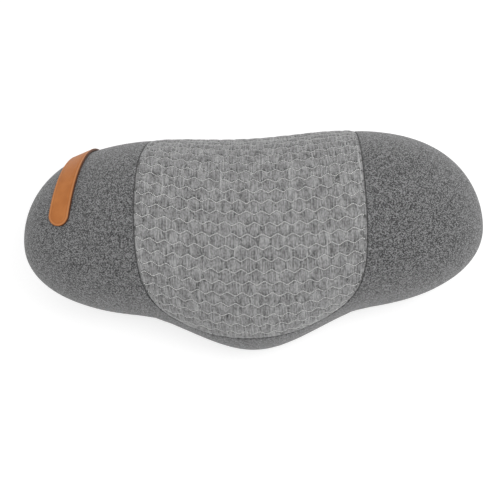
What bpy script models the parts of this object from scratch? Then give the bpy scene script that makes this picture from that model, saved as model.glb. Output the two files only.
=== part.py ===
"""Lumbar support cushion: a foam core in a liner and a zipped cover.

The cushion lies on its flat back. X runs along its width, +Y points to its top
edge and +Z is the way its front faces. The origin is on the surface that it
lies on, below the middle of the cushion.

Every fabric layer is the same closed form at another depth. The form is a
stretched sphere, so each of its points belongs to one direction from the
sphere's centre, and one net of directions serves all the layers: that keeps
their facets parallel and their gaps even.
"""

import math

import bmesh
import bpy
from mathutils import Matrix, Vector
from mathutils.geometry import delaunay_2d_cdt

MM = 0.001
COLLECTION = "lumbar_support_cushion"

# Outline of the cushion, seen from the front
HALF_WIDTH = 215 * MM
TOP_REACH = 106 * MM
TOP_DIP = 3 * MM
TOP_DIP_WIDTH = 0.45
BOTTOM_REACH = 70 * MM
TONGUE_DROP = 35 * MM
TONGUE_WIDTH = 0.54
TIP_POWER = 4.0

# Section of the cushion, from its back to its front
RIM_HEIGHT = 28 * MM
WING_RISE = 28 * MM
CROWN = 77 * MM
SECTION_POWER = 2.1
BACK_POWER = 6.0
BACK_FLATNESS = 4 * MM
BACK_LIFT = 20 * MM
BACK_LIFT_MARGIN = 7.5 * MM

# Layers of the cover, from the outside in
LAYER_GAP = 0.3 * MM
FACE_THICKNESS = 0.8 * MM
WADDING_THICKNESS = 1.8 * MM
BACKING_THICKNESS = 0.4 * MM
LINER_THICKNESS = 0.6 * MM
COVER_THICKNESS = FACE_THICKNESS + WADDING_THICKNESS + BACKING_THICKNESS + 2 * LAYER_GAP
LINER_DEPTH = COVER_THICKNESS + LAYER_GAP
FOAM_DEPTH = LINER_DEPTH + LINER_THICKNESS + LAYER_GAP

# Seams between the panels of the cover
SEAM_GAP = 1.4 * MM
LINER_SEAM_GAP = 0.5 * MM
THREAD_RADIUS = 0.35 * MM
THREAD_DEPTH = 1.2 * MM
PANEL_HALF_WIDTH = 102 * MM
PANEL_SHIFT = 2.2 * MM
PANEL_TAPER = {-1: 22 * MM, 1: 1 * MM}
PANEL_TURN = math.radians(90.5)
PANEL_FOOT = math.radians(175)
PANEL_ARCH = math.radians(18.5)
PANEL_CORNER_POWER = 3.4
BACK_SEAM_ANGLE = math.radians(120)

# Zip in the back of the cover
ZIP_Y = -8 * MM
ZIP_TRAVEL = 200 * MM
CHAIN_PITCH = 4 * MM
CHAIN_OVERRUN = 8 * MM
CHAIN_HALF_WIDTH = 2.7 * MM
CHAIN_PARTING = 1.6 * MM
CHAIN_THICKNESS = 1.6 * MM
CHAIN_SPINE = 0.9 * MM
TAPE_HALF_WIDTH = 13 * MM
TAPE_THICKNESS = 0.6 * MM
SLOT_HALF_WIDTH = 6 * MM
SLOT_OVERRUN = 32 * MM
STOP_LENGTH = 3 * MM
DENT_DEPTH = 3 * MM
DENT_MARGIN = 1.5 * MM
DENT_SLOPE = 10 * MM

# Slider and pull
SLIDER_LENGTH = 10 * MM
SLIDER_WIDTH = 8.4 * MM
PLATE_THICKNESS = 1 * MM
WEB_THICKNESS = 0.8 * MM
WEB_LENGTH = 3 * MM
FLANGE_THICKNESS = 0.6 * MM
BAIL_HALF_LENGTH = 2.8 * MM
BAIL_THICKNESS = 0.5 * MM
BAIL_WIDTH = 1.8 * MM
BAIL_ROOM = 1.3 * MM
PULL_LENGTH = 25 * MM
PULL_WIDTH = 7 * MM
PULL_THICKNESS = 0.7 * MM
PULL_RIM = 1.5 * MM

# Leather tab over the edge of the left wing
TAB_WIDTH = 20 * MM
TAB_THICKNESS = 2.2 * MM
TAB_REST_GAP = 0.4 * MM
TAB_ROOT = (-154 * MM, math.radians(-34))
TAB_END = (-168 * MM, math.radians(96))
TACK_LENGTH = 14 * MM
TACK_WIDTH = 2 * MM
TACK_THICKNESS = 0.7 * MM

# Care label on the back of the right wing
LABEL_LENGTH = 26 * MM
LABEL_HEIGHT = 16 * MM
LABEL_THICKNESS = 0.4 * MM
LABEL_X = 162 * MM
LABEL_Y = 30 * MM

# Fineness of the net
FRONT_STEP = (0.165, 0.225)
BACK_STEP = (0.27, 0.30)
RING_POINTS = 54
RING_CROWDING = 0.5
SEAM_POINTS = 13
SIDE_POINTS = 14
LINE_STEP = 34 * MM
CLEARANCE_SHARE = 0.45


# ---------------------------------------------------------------- the form

def bell(value, width):
    """A smooth hump, 1 in the middle and 0 from width outwards."""
    return math.cos(math.pi * value / (2 * width)) ** 2 if value < width else 0.0


def rounded(value, power):
    """Turn a circle's coordinate into that of a superellipse."""
    return math.copysign(abs(value) ** (2 / power), value)


def surface_point(direction):
    """Point of the outer form that belongs to a direction."""
    along = max(-1.0, min(1.0, direction.x))
    aside = abs(along)
    across = math.hypot(direction.y, direction.z)
    cosine, sine = (direction.y / across, direction.z / across) if across > 1e-9 else (1.0, 0.0)
    end = math.sqrt(max(0.0, 1 - aside ** TIP_POWER))
    top = (TOP_REACH - TOP_DIP * bell(aside, TOP_DIP_WIDTH)) * end
    bottom = (BOTTOM_REACH + TONGUE_DROP * bell(aside, TONGUE_WIDTH)) * end
    y = (top - bottom) / 2 + (top + bottom) / 2 * rounded(cosine, SECTION_POWER)
    rim = RIM_HEIGHT + WING_RISE * aside ** 2
    if sine >= 0:
        z = rim + CROWN * end * rounded(sine, SECTION_POWER)
    else:
        lift = max(0.0, aside - BACK_LIFT_START) / (1 - BACK_LIFT_START)
        reach = rim + BACK_FLATNESS - BACK_LIFT * lift ** 1.5
        z = rim + reach * math.sqrt(max(0.0, 1 - lift ** 3)) * rounded(sine, BACK_POWER)
    return Vector((HALF_WIDTH * along, y, max(0.0, z)))


def surface_normal(direction):
    """Outward unit normal of the outer form."""
    first = direction.orthogonal().normalized()
    second = direction.cross(first)
    step = 0.004
    slopes = [surface_point((direction + side * step).normalized())
              - surface_point((direction - side * step).normalized()) for side in (first, second)]
    normal = slopes[0].cross(slopes[1]).normalized()
    return normal if normal.dot(direction) > 0 else -normal


def form_point(direction, depth):
    """Point at a depth below the outer form, over the dent that makes room for the zip."""
    point = surface_point(direction) - surface_normal(direction) * depth
    if direction.z < 0 and depth > COVER_THICKNESS:
        point.z += dent_height(point.x, point.y)
    return point


def dent_height(x, y):
    """Height by which the liner and the foam clear the zip."""
    outside = max(abs(x) - DENT_HALF_LENGTH, abs(y - ZIP_Y) - DENT_HALF_WIDTH)
    return DENT_DEPTH * max(0.0, min(1.0, 1 - outside / DENT_SLOPE))


def section_direction(x, angle):
    """Direction of the point at x and at an angle round the section from the top edge."""
    along = x / HALF_WIDTH
    across = math.sqrt(1 - along * along)
    return Vector((along, across * math.cos(angle), across * math.sin(angle)))


def back_direction(x, y):
    """Direction of the point of the back that lies over (x, y)."""
    low, high = -math.pi, 0.0
    for _ in range(40):
        middle = (low + high) / 2
        if surface_point(section_direction(x, middle)).y < y:
            low = middle
        else:
            high = middle
    return section_direction(x, (low + high) / 2)


def polar_direction(angle, azimuth):
    """Direction at an angle from +Z, turned by an azimuth from +X."""
    return Vector((math.sin(angle) * math.cos(azimuth),
                   math.sin(angle) * math.sin(azimuth), math.cos(angle)))


def ring_direction(azimuth, offset):
    """Direction of a point of the back seam, moved towards the back by an offset."""
    step = 0.01
    ahead = surface_point(polar_direction(BACK_SEAM_ANGLE + step, azimuth))
    behind = surface_point(polar_direction(BACK_SEAM_ANGLE - step, azimuth))
    return polar_direction(BACK_SEAM_ANGLE + offset * 2 * step / (ahead - behind).length, azimuth)


BACK_LIFT_START = (ZIP_TRAVEL / 2 + BACK_LIFT_MARGIN) / HALF_WIDTH
DENT_HALF_LENGTH = ZIP_TRAVEL / 2 + SLOT_OVERRUN + DENT_MARGIN
DENT_HALF_WIDTH = TAPE_HALF_WIDTH + DENT_MARGIN


# ------------------------------------------------------------- the seams

def panel_edge(offset):
    """Edge of the quilted panel, from the left of the top down round the foot to the right.

    Args:
        offset: how far the edge lies outside the seam's line.

    Returns:
        The directions of the edge's points. Both ends lie on the front side of the back seam.
    """
    arch_top = PANEL_FOOT - PANEL_ARCH
    foot = surface_point(section_direction(0, arch_top + 0.01))
    foot_slope = (foot - surface_point(section_direction(0, arch_top - 0.01))).length / 0.02
    reach = PANEL_FOOT - PANEL_TURN + offset / foot_slope
    edges = {}
    for side in (-1, 1):
        half_width = PANEL_HALF_WIDTH + side * PANEL_SHIFT + offset
        points = []
        top_x = half_width - PANEL_TAPER[side]
        top_angle = panel_end_angle(top_x * side)
        for number in range(SIDE_POINTS):
            share = 1 - number / SIDE_POINTS
            angle = PANEL_TURN + (top_angle - PANEL_TURN) * share
            points.append(section_direction(side * (half_width - PANEL_TAPER[side] * share ** 2), angle))
        points[0] = ring_direction(ring_azimuth(points[0]), -SEAM_GAP / 2)
        for number in range(SEAM_POINTS):
            turn = math.pi / 2 * number / SEAM_POINTS
            x = half_width * math.cos(turn) ** (2 / PANEL_CORNER_POWER)
            down = math.sin(turn) ** (2 / PANEL_CORNER_POWER)
            angle = PANEL_TURN + reach * down - PANEL_ARCH * bell(x / half_width, 1) * down ** 2
            points.append(section_direction(side * x, angle))
        edges[side] = points
    bottom = section_direction(0, PANEL_TURN + reach - PANEL_ARCH)
    return edges[-1] + [bottom] + edges[1][::-1]


def panel_end_angle(x):
    """Angle round the section at which the back seam passes x."""
    along = x / HALF_WIDTH
    return math.asin(math.cos(BACK_SEAM_ANGLE) / math.sqrt(1 - along * along))


def ring_azimuth(direction):
    """Azimuth of a direction."""
    return math.atan2(direction.y, direction.x)


# --------------------------------------------------------------- the net

class Chart:
    """A flat map of the form round its front (pole 1) or its back (pole -1)."""

    def __init__(self, pole):
        self.pole = pole
        self.points = []
        self.edges = []
        self.lines = []

    def flatten(self, direction):
        """Place of a direction on the map."""
        angle = math.acos(max(-1.0, min(1.0, direction.z * self.pole)))
        azimuth = ring_azimuth(direction)
        return Vector((angle * math.cos(azimuth), angle * math.sin(azimuth)))

    def lift(self, place):
        """Direction of a place on the map."""
        angle = place.length
        azimuth = math.atan2(place.y, place.x)
        direction = polar_direction(angle, azimuth)
        return Vector((direction.x, direction.y, direction.z * self.pole))

    def add_line(self, directions, closed=False):
        """Make a line of directions into edges of the net."""
        first = len(self.points)
        places = [self.flatten(direction) for direction in directions]
        self.points += places
        self.edges += [(first + i, first + i + 1) for i in range(len(places) - 1)]
        if closed:
            self.edges.append((first + len(places) - 1, first))
            places = places + places[:1]
        self.lines += list(zip(places, places[1:]))

    def add_lattice(self, radius, step):
        """Fill the map with staggered rows of points that keep clear of its lines."""
        rows = int(radius / step[1])
        columns = int(radius / step[0]) + 1
        for row in range(-rows, rows + 1):
            for column in range(-columns, columns + 1):
                place = Vector(((column + 0.5 * (row % 2)) * step[0], row * step[1]))
                if place.length < radius and self.is_clear(place, CLEARANCE_SHARE * min(step)):
                    self.points.append(place)

    def is_clear(self, place, distance):
        """Whether a place lies farther than a distance from every line."""
        for start, end in self.lines:
            run = end - start
            share = max(0.0, min(1.0, (place - start).dot(run) / run.length_squared))
            if (start + run * share - place).length < distance:
                return False
        return True

    def triangles(self):
        """Triangulate the map.

        Returns:
            Pairs of a triangle's middle on the map and its three directions.
        """
        result = delaunay_2d_cdt(self.points, self.edges, [], 0, 1e-7)
        places = result[0]
        found = []
        for corners in result[2]:
            middle = sum((places[i] for i in corners), Vector((0, 0))) / 3
            found.append((middle, [self.lift(places[i]) for i in corners]))
        return found


def is_inside(place, outline):
    """Whether a place lies inside a closed outline."""
    inside = False
    for start, end in zip(outline, outline[1:] + outline[:1]):
        if (start.y > place.y) != (end.y > place.y):
            crossing = start.x + (place.y - start.y) / (end.y - start.y) * (end.x - start.x)
            inside ^= place.x < crossing
    return inside


def ring_azimuths():
    """Azimuths of the net's rings: closest at the tongue, and at the ends of the panel's edges."""
    ends = []
    for offset in (-SEAM_GAP / 2, SEAM_GAP / 2):
        edge = panel_edge(offset)
        ends += [ring_azimuth(edge[0]), ring_azimuth(edge[-1])]
    step = 2 * math.pi / RING_POINTS
    turns = [step * number - math.pi for number in range(RING_POINTS)]
    spread = [turn + RING_CROWDING / 2 * math.sin(2 * turn) for turn in turns]
    return sorted(ends + [a for a in spread if all(abs(a - end) > step / 4 for end in ends)])


def front_net(azimuths):
    """Net of the front and the rims, up to the back seam."""
    chart = Chart(1)
    ring = [ring_direction(azimuth, -SEAM_GAP / 2) for azimuth in azimuths]
    chart.add_line(ring, closed=True)
    rim_start = math.pi / 2 - LINER_SEAM_GAP / CROWN
    rims = []
    for angle in (rim_start, math.pi / 2):
        rim = [polar_direction(angle, azimuth) for azimuth in azimuths]
        chart.add_line(rim, closed=True)
        rims.append([chart.flatten(direction) for direction in rim])
    outlines = []
    for offset in (-SEAM_GAP / 2, SEAM_GAP / 2):
        edge = panel_edge(offset)
        chart.add_line(edge)
        places = [chart.flatten(direction) for direction in edge]
        beyond = Vector((0, 2 * places[0].y))
        outlines.append([places[0] * 1.5] + places + [places[-1] * 1.5, beyond])
    chart.add_lattice(BACK_SEAM_ANGLE, FRONT_STEP)
    boundary = [chart.flatten(direction) for direction in ring]
    net = []
    for middle, corners in chart.triangles():
        if not is_inside(middle, boundary):
            continue
        half = "front" if is_inside(middle, rims[0]) else "back"
        if is_inside(middle, rims[1]) and half == "back":
            half = "rim"
        if is_inside(middle, outlines[0]):
            region = "centre"
        elif is_inside(middle, outlines[1]):
            region = "seam"
        else:
            region = "surround"
        net.append((region, half, corners))
    return net


def back_line(y):
    """Points of the back along a line at y, from the back seam on the left to the right."""
    low, high = 0.0, HALF_WIDTH
    for _ in range(30):
        middle = (low + high) / 2
        if back_direction(middle, y).z < math.cos(BACK_SEAM_ANGLE):
            low = middle
        else:
            high = middle
    count = math.ceil(2 * low / LINE_STEP)
    return [back_direction(low * (2 * number / count - 1), y) for number in range(count + 1)]


def back_box(half_length, half_width):
    """Corners and side points of a rectangle round the zip, as directions."""
    count = math.ceil(2 * half_length / LINE_STEP)
    row = [half_length * (2 * number / count - 1) for number in range(count + 1)]
    lower = [back_direction(x, ZIP_Y - half_width) for x in row]
    upper = [back_direction(x, ZIP_Y + half_width) for x in row[::-1]]
    return lower + upper


def back_net(azimuths):
    """Net of the back, inside the back seam."""
    chart = Chart(-1)
    outer = [ring_direction(azimuth, -SEAM_GAP / 2) for azimuth in azimuths]
    inner = [ring_direction(azimuth, SEAM_GAP / 2) for azimuth in azimuths]
    chart.add_line(outer, closed=True)
    chart.add_line(inner, closed=True)
    for side in (-1, 1):
        chart.add_line(back_line(ZIP_Y + side * SLOT_HALF_WIDTH))
        chart.add_line(back_line(ZIP_Y + side * END_HALF_WIDTH))
        end = side * SLOT_HALF_LENGTH
        chart.add_line([back_direction(end, ZIP_Y + y) for y in (-END_HALF_WIDTH, END_HALF_WIDTH)])
    for margin in (0, DENT_SLOPE):
        box = back_box(DENT_HALF_LENGTH + margin, DENT_HALF_WIDTH + margin)
        chart.add_line(box, closed=True)
    chart.add_lattice(math.pi - BACK_SEAM_ANGLE, BACK_STEP)
    boundary = [chart.flatten(direction) for direction in outer]
    panel = [chart.flatten(direction) for direction in inner]
    net = []
    for middle, corners in chart.triangles():
        if is_inside(middle, boundary):
            region = back_region(corners) if is_inside(middle, panel) else "seam"
            net.append((region, "back", corners))
    return net


def back_region(corners):
    """Name of the piece of the back that a triangle belongs to."""
    middle = sum((surface_point(corner) for corner in corners), Vector()) / 3
    aside = middle.y - ZIP_Y
    if abs(aside) > SLOT_HALF_WIDTH:
        return "upper" if aside > 0 else "lower"
    if abs(aside) > END_HALF_WIDTH or abs(middle.x) < SLOT_HALF_LENGTH:
        return "slot"
    return "right_end" if middle.x > 0 else "left_end"


# ---------------------------------------------------------- the materials

def make_material(name, colour, roughness, metallic=0.0):
    """A plain finish."""
    material = bpy.data.materials.new(name)
    material.use_nodes = True
    shader = material.node_tree.nodes["Principled BSDF"]
    shader.inputs["Base Color"].default_value = (*colour, 1)
    shader.inputs["Roughness"].default_value = roughness
    shader.inputs["Metallic"].default_value = metallic
    return material


# ------------------------------------------------------------- the pieces

def add_object(name, data, material, collection):
    """Put a mesh or a curve into the collection as one named piece."""
    piece = bpy.data.objects.new(name, data)
    data.materials.clear()
    data.materials.append(material)
    collection.objects.link(piece)
    return piece


def mesh_from(name, bm, smooth_angle=math.radians(40)):
    """Turn a bmesh into a mesh whose curved faces are shaded smooth."""
    bmesh.ops.recalc_face_normals(bm, faces=bm.faces[:])
    mesh = bpy.data.meshes.new(name)
    bm.to_mesh(mesh)
    bm.free()
    mesh.shade_smooth()
    mesh.set_sharp_from_angle(angle=smooth_angle)
    return mesh


def open_layer(net, wanted, outer, inner):
    """Patch of the form at a depth, which remembers where its inner side lies."""
    bm = bmesh.new()
    memory = bm.verts.layers.float_vector.new("inner")
    for region, half, corners in net:
        if not wanted(region, half):
            continue
        verts = []
        for direction in corners:
            vert = bm.verts.new(form_point(direction, outer))
            vert[memory] = form_point(direction, inner)
            verts.append(vert)
        bm.faces.new(verts)
    bmesh.ops.remove_doubles(bm, verts=bm.verts[:], dist=0.01 * MM)
    return bm, memory


def layer_mesh(name, net, wanted, outer, thickness):
    """One layer of fabric: a patch of the form, extruded to its inner side."""
    bm, memory = open_layer(net, wanted, outer, outer + thickness)
    extruded = bmesh.ops.extrude_face_region(bm, geom=bm.faces[:])
    for item in extruded["geom"]:
        if isinstance(item, bmesh.types.BMVert):
            item.co = item[memory]
    return mesh_from(name, bm)


def solid_mesh(name, net, depth):
    """The whole form at a depth, as one closed solid."""
    bm, _ = open_layer(net, lambda region, half: True, depth, depth)
    return mesh_from(name, bm)


def thread_curve(name, directions, closed):
    """A thread that follows a seam."""
    curve = bpy.data.curves.new(name, "CURVE")
    curve.dimensions = "3D"
    curve.bevel_depth = THREAD_RADIUS
    curve.bevel_resolution = 1
    curve.use_fill_caps = not closed
    spline = curve.splines.new("POLY")
    spline.points.add(len(directions) - 1)
    spline.use_cyclic_u = closed
    for point, direction in zip(spline.points, directions):
        point.co = (*form_point(direction, THREAD_DEPTH), 1)
    return curve


def outline_curve(name, outlines, thickness):
    """A flat plate with holes, from closed outlines, centred on its own plane."""
    curve = bpy.data.curves.new(name, "CURVE")
    curve.dimensions = "2D"
    curve.fill_mode = "BOTH"
    curve.extrude = thickness / 2
    for outline in outlines:
        spline = curve.splines.new("POLY")
        spline.points.add(len(outline) - 1)
        spline.use_cyclic_u = True
        for point, (x, y) in zip(spline.points, outline):
            point.co = (x, y, 0, 1)
    return curve


def box_mesh(name, low, high, bevel=0.0):
    """A box between two corners, with rounded edges if a bevel is given."""
    bm = bmesh.new()
    size = Vector(high) - Vector(low)
    place = Matrix.Translation((Vector(low) + Vector(high)) / 2) @ Matrix.Diagonal((*size, 1))
    bmesh.ops.create_cube(bm, size=1, matrix=place)
    if bevel:
        bmesh.ops.bevel(bm, geom=bm.edges[:], offset=bevel, segments=2, profile=0.5, affect="EDGES")
    return mesh_from(name, bm)


def join_boxes(name, boxes, material, collection, cutters):
    """One solid from boxes that overlap, joined by Boolean unions."""
    piece = add_object(name, box_mesh(name, *boxes[0]), material, collection)
    for number, box in enumerate(boxes[1:], 1):
        helper = add_object(f"{name}_part_{number}", box_mesh(f"{name}_part_{number}", *box),
                            material, cutters)
        helper.hide_render = True
        helper.display_type = "WIRE"
        union = piece.modifiers.new(f"join_{number}", "BOOLEAN")
        union.operation = "UNION"
        union.object = helper
    return piece


def rounded_outline(low, high, radius, steps=4):
    """A rectangle with round corners, as a list of points."""
    points = []
    corners = ((high[0] - radius, high[1] - radius), (low[0] + radius, high[1] - radius),
               (low[0] + radius, low[1] + radius), (high[0] - radius, low[1] + radius))
    for quarter, (x, y) in enumerate(corners):
        for number in range(steps + 1):
            turn = math.pi / 2 * (quarter + number / steps)
            points.append((x + radius * math.cos(turn), y + radius * math.sin(turn)))
    return points


# -------------------------------------------------------------- assemblies

def build_layers(net, finishes, collection):
    """The foam, its liner and the panels of the cover."""
    wadding_depth = FACE_THICKNESS + LAYER_GAP
    backing_depth = wadding_depth + WADDING_THICKNESS + LAYER_GAP
    layers = (
        ("front_panel_face", "quilt", "centre", None, 0, FACE_THICKNESS),
        ("front_panel_wadding", "wadding", "centre", None, wadding_depth, WADDING_THICKNESS),
        ("front_panel_backing", "backing", "centre", None, backing_depth, BACKING_THICKNESS),
        ("surround_panel", "heather", "surround", None, 0, COVER_THICKNESS),
        ("back_panel_upper", "heather", "upper", None, 0, COVER_THICKNESS),
        ("back_panel_lower", "heather", "lower", None, 0, COVER_THICKNESS),
        ("zip_end_left", "heather", "left_end", None, 0, COVER_THICKNESS),
        ("zip_end_right", "heather", "right_end", None, 0, COVER_THICKNESS),
        ("liner_front", "liner", None, "front", LINER_DEPTH, LINER_THICKNESS),
        ("liner_back", "liner", None, "back", LINER_DEPTH, LINER_THICKNESS),
    )
    for name, finish, region, half, depth, thickness in layers:
        def wanted(this_region, this_half):
            return region in (None, this_region) and half in (None, this_half)
        add_object(name, layer_mesh(name, net, wanted, depth, thickness), finishes[finish], collection)
    add_object("foam_core", solid_mesh("foam_core", net, FOAM_DEPTH), finishes["foam"], collection)


def build_threads(azimuths, finishes, collection):
    """The threads that close the seam round the quilted panel and the back seam."""
    ring = [ring_direction(azimuth, 0) for azimuth in azimuths]
    for name, directions, closed in (("front_seam_thread", panel_edge(0), False),
                                     ("back_seam_thread", ring, True)):
        add_object(name, thread_curve(name, directions, closed), finishes["thread"], collection)


def comb_outline(side):
    """Outline of one half of the zip's chain: a spine with a tooth at each pitch."""
    half_length = ZIP_TRAVEL / 2 + CHAIN_OVERRUN
    spine = CHAIN_HALF_WIDTH - CHAIN_SPINE
    tip = CHAIN_PARTING / 2
    count = int(2 * half_length / CHAIN_PITCH) - 1
    start = -CHAIN_PITCH * (count - 1) / 2 + side * CHAIN_PITCH / 4
    points = [(-half_length, side * CHAIN_HALF_WIDTH), (-half_length, side * spine)]
    for number in range(count):
        middle = start + CHAIN_PITCH * number
        for x, y in ((-0.3, spine), (-0.22, tip), (0.22, tip), (0.3, spine)):
            points.append((middle + x * CHAIN_PITCH, side * y))
    points += [(half_length, side * spine), (half_length, side * CHAIN_HALF_WIDTH)]
    return points


def build_zip(finishes, collection):
    """The tapes, the two halves of the chain and its end stops."""
    chain_end = ZIP_TRAVEL / 2 + CHAIN_OVERRUN
    tape_end = chain_end + STOP_LENGTH + 2 * LAYER_GAP
    tape_edge = CHAIN_HALF_WIDTH + LAYER_GAP
    for name, side in (("lower", -1), ("upper", 1)):
        near, far = sorted((ZIP_Y + side * tape_edge, ZIP_Y + side * TAPE_HALF_WIDTH))
        tape = box_mesh(f"zip_tape_{name}", (-tape_end, near, TAPE_Z), (tape_end, far, TAPE_Z + TAPE_THICKNESS))
        add_object(f"zip_tape_{name}", tape, finishes["tape"], collection)
        chain = outline_curve(f"zip_teeth_{name}", [comb_outline(side)], CHAIN_THICKNESS)
        teeth = add_object(f"zip_teeth_{name}", chain, finishes["teeth"], collection)
        teeth.location = (0, ZIP_Y, CHAIN_Z)
    for name, side in (("left", -1), ("right", 1)):
        near, far = sorted((side * (chain_end + LAYER_GAP), side * (chain_end + LAYER_GAP + STOP_LENGTH)))
        low = (near, ZIP_Y - CHAIN_HALF_WIDTH, CHAIN_Z - CHAIN_THICKNESS / 2)
        high = (far, ZIP_Y + CHAIN_HALF_WIDTH, CHAIN_Z + CHAIN_THICKNESS / 2)
        stop = box_mesh(f"zip_stop_{name}", low, high, bevel=0.3 * MM)
        add_object(f"zip_stop_{name}", stop, finishes["metal"], collection)


def build_slider(finishes, collection, cutters):
    """The slider at the closed end of the zip, and the pull that hangs from its bail."""
    half_length, half_width = SLIDER_LENGTH / 2, SLIDER_WIDTH / 2
    inner_face = CHAIN_THICKNESS / 2 + LAYER_GAP
    plate = inner_face + PLATE_THICKNESS
    flange = TAPE_THICKNESS / 2 + LAYER_GAP
    bail_top = plate + BAIL_ROOM + BAIL_THICKNESS
    boxes = [((-half_length, -half_width, -plate), (half_length, half_width, -inner_face)),
             ((-half_length, -half_width, inner_face), (half_length, half_width, plate)),
             ((-WEB_LENGTH / 2, -WEB_THICKNESS / 2, -plate + 0.2 * MM),
              (WEB_LENGTH / 2, WEB_THICKNESS / 2, plate - 0.2 * MM))]
    sunk = 0.2 * MM
    for side in (-1, 1):
        near, far = sorted((side * (half_width - FLANGE_THICKNESS), side * (half_width - 0.02 * MM)))
        for level in (-1, 1):
            low, high = sorted((level * flange, level * (inner_face + sunk)))
            boxes.append(((-half_length * 0.8, near, low), (half_length * 0.8, far, high)))
        left, right = sorted((side * (BAIL_HALF_LENGTH - BAIL_THICKNESS), side * BAIL_HALF_LENGTH))
        boxes.append(((left, -BAIL_WIDTH / 2, -bail_top + sunk), (right, BAIL_WIDTH / 2, -plate + sunk)))
    boxes.append(((-BAIL_HALF_LENGTH - 0.02 * MM, -BAIL_WIDTH / 2 - 0.02 * MM, -bail_top),
                  (BAIL_HALF_LENGTH + 0.02 * MM, BAIL_WIDTH / 2 + 0.02 * MM, -bail_top + BAIL_THICKNESS)))
    slider = join_boxes("zip_slider", boxes, finishes["metal"], collection, cutters)
    slider.location = (-ZIP_TRAVEL / 2, ZIP_Y, CHAIN_Z)
    for helper in cutters.objects:
        helper.location = slider.location

    bar = PULL_THICKNESS / 2
    window_end = BAIL_HALF_LENGTH + 2 * LAYER_GAP
    window_side = BAIL_WIDTH / 2 + LAYER_GAP
    grip_start = window_end + 3 * PULL_RIM
    grip_end = PULL_LENGTH - 2 * PULL_RIM
    outlines = [rounded_outline((-bar, -PULL_WIDTH / 2), (PULL_LENGTH, PULL_WIDTH / 2), 1.2 * MM),
                [(bar, -window_side), (window_end, -window_side), (window_end, window_side), (bar, window_side)],
                rounded_outline((grip_start, PULL_RIM - PULL_WIDTH / 2),
                                (grip_end, PULL_WIDTH / 2 - PULL_RIM), 1 * MM)]
    curve = outline_curve("zip_pull", outlines, PULL_THICKNESS)
    pull = add_object("zip_pull", curve, finishes["metal"], collection)
    pull.location = (-ZIP_TRAVEL / 2, ZIP_Y, CHAIN_Z - plate - BAIL_ROOM / 2)


def tab_frame(share, lift=TAB_REST_GAP):
    """Place and axes of the leather tab at a share of the way from its root to its end."""
    def middle(part):
        x = TAB_ROOT[0] + (TAB_END[0] - TAB_ROOT[0]) * part ** 2
        angle = TAB_ROOT[1] + (TAB_END[1] - TAB_ROOT[1]) * part
        direction = section_direction(x, angle)
        return surface_point(direction) + surface_normal(direction) * lift, surface_normal(direction)
    place, normal = middle(share)
    ahead = middle(share + 0.01)[0] - middle(share - 0.01)[0]
    ahead = (ahead - normal * ahead.dot(normal)).normalized()
    return place, ahead, normal.cross(ahead), normal


def build_tab(finishes, collection):
    """The leather tab, which turns about the line where it is sewn on, and its bar tack."""
    steps = 24
    frames = [tab_frame(number / steps) for number in range(steps + 1)]
    reach = [0.0]
    for (start, *_), (end, *_) in zip(frames, frames[1:]):
        reach.append(reach[-1] + (end - start).length)
    half = TAB_WIDTH / 2
    root = frames[0][0]
    bm = bmesh.new()
    rows = []
    for (place, _, aside, _), distance in zip(frames, reach):
        left = max(0.0, half - (reach[-1] - distance))
        width = max(math.sqrt(max(0.0, half * half - left * left)), 0.2 * half)
        rows.append([bm.verts.new(place - root + aside * width * share) for share in (-1, -0.5, 0, 0.5, 1)])
    for before, after in zip(rows, rows[1:]):
        for number in range(len(before) - 1):
            bm.faces.new((before[number], after[number], after[number + 1], before[number + 1]))
    if sum(face.normal.dot(frames[0][3]) for face in bm.faces) < 0:
        bmesh.ops.reverse_faces(bm, faces=bm.faces[:])
    mesh = bpy.data.meshes.new("leather_tab")
    bm.to_mesh(mesh)
    bm.free()
    tab = add_object("leather_tab", mesh, finishes["leather"], collection)
    tab.location = root
    shell = tab.modifiers.new("thickness", "SOLIDIFY")
    shell.thickness = TAB_THICKNESS
    shell.offset = 1
    shell.use_even_offset = True

    place, ahead, aside, normal = tab_frame(0.06, TAB_REST_GAP + TAB_THICKNESS + LAYER_GAP)
    low = (-TACK_WIDTH / 2, -TACK_LENGTH / 2, 0)
    high = (TACK_WIDTH / 2, TACK_LENGTH / 2, TACK_THICKNESS)
    tack = add_object("tab_bar_tack", box_mesh("tab_bar_tack", low, high, 0.25 * MM),
                      finishes["thread"], collection)
    tack.matrix_world = Matrix.Translation(place) @ Matrix((ahead, aside, normal)).transposed().to_4x4()


def build_label(finishes, collection):
    """The blank care label, which lies against the back of the right wing."""
    columns, rows = 4, 3
    bm = bmesh.new()
    memory = bm.verts.layers.float_vector.new("inner")
    grid = []
    for row in range(rows + 1):
        line = []
        for column in range(columns + 1):
            x = LABEL_X + LABEL_LENGTH * (column / columns - 0.5)
            y = LABEL_Y + LABEL_HEIGHT * (row / rows - 0.5)
            direction = back_direction(x, y)
            vert = bm.verts.new(form_point(direction, -LAYER_GAP))
            vert[memory] = form_point(direction, -LAYER_GAP - LABEL_THICKNESS)
            line.append(vert)
        grid.append(line)
    for before, after in zip(grid, grid[1:]):
        for number in range(columns):
            bm.faces.new((before[number], before[number + 1], after[number + 1], after[number]))
    extruded = bmesh.ops.extrude_face_region(bm, geom=bm.faces[:])
    for item in extruded["geom"]:
        if isinstance(item, bmesh.types.BMVert):
            item.co = item[memory]
    add_object("care_label", mesh_from("care_label", bm), finishes["label"], collection)


SLOT_HALF_LENGTH = ZIP_TRAVEL / 2 + SLOT_OVERRUN
END_HALF_WIDTH = SLOT_HALF_WIDTH - LAYER_GAP
TAPE_Z = COVER_THICKNESS + LAYER_GAP
CHAIN_Z = TAPE_Z + TAPE_THICKNESS / 2


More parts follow.
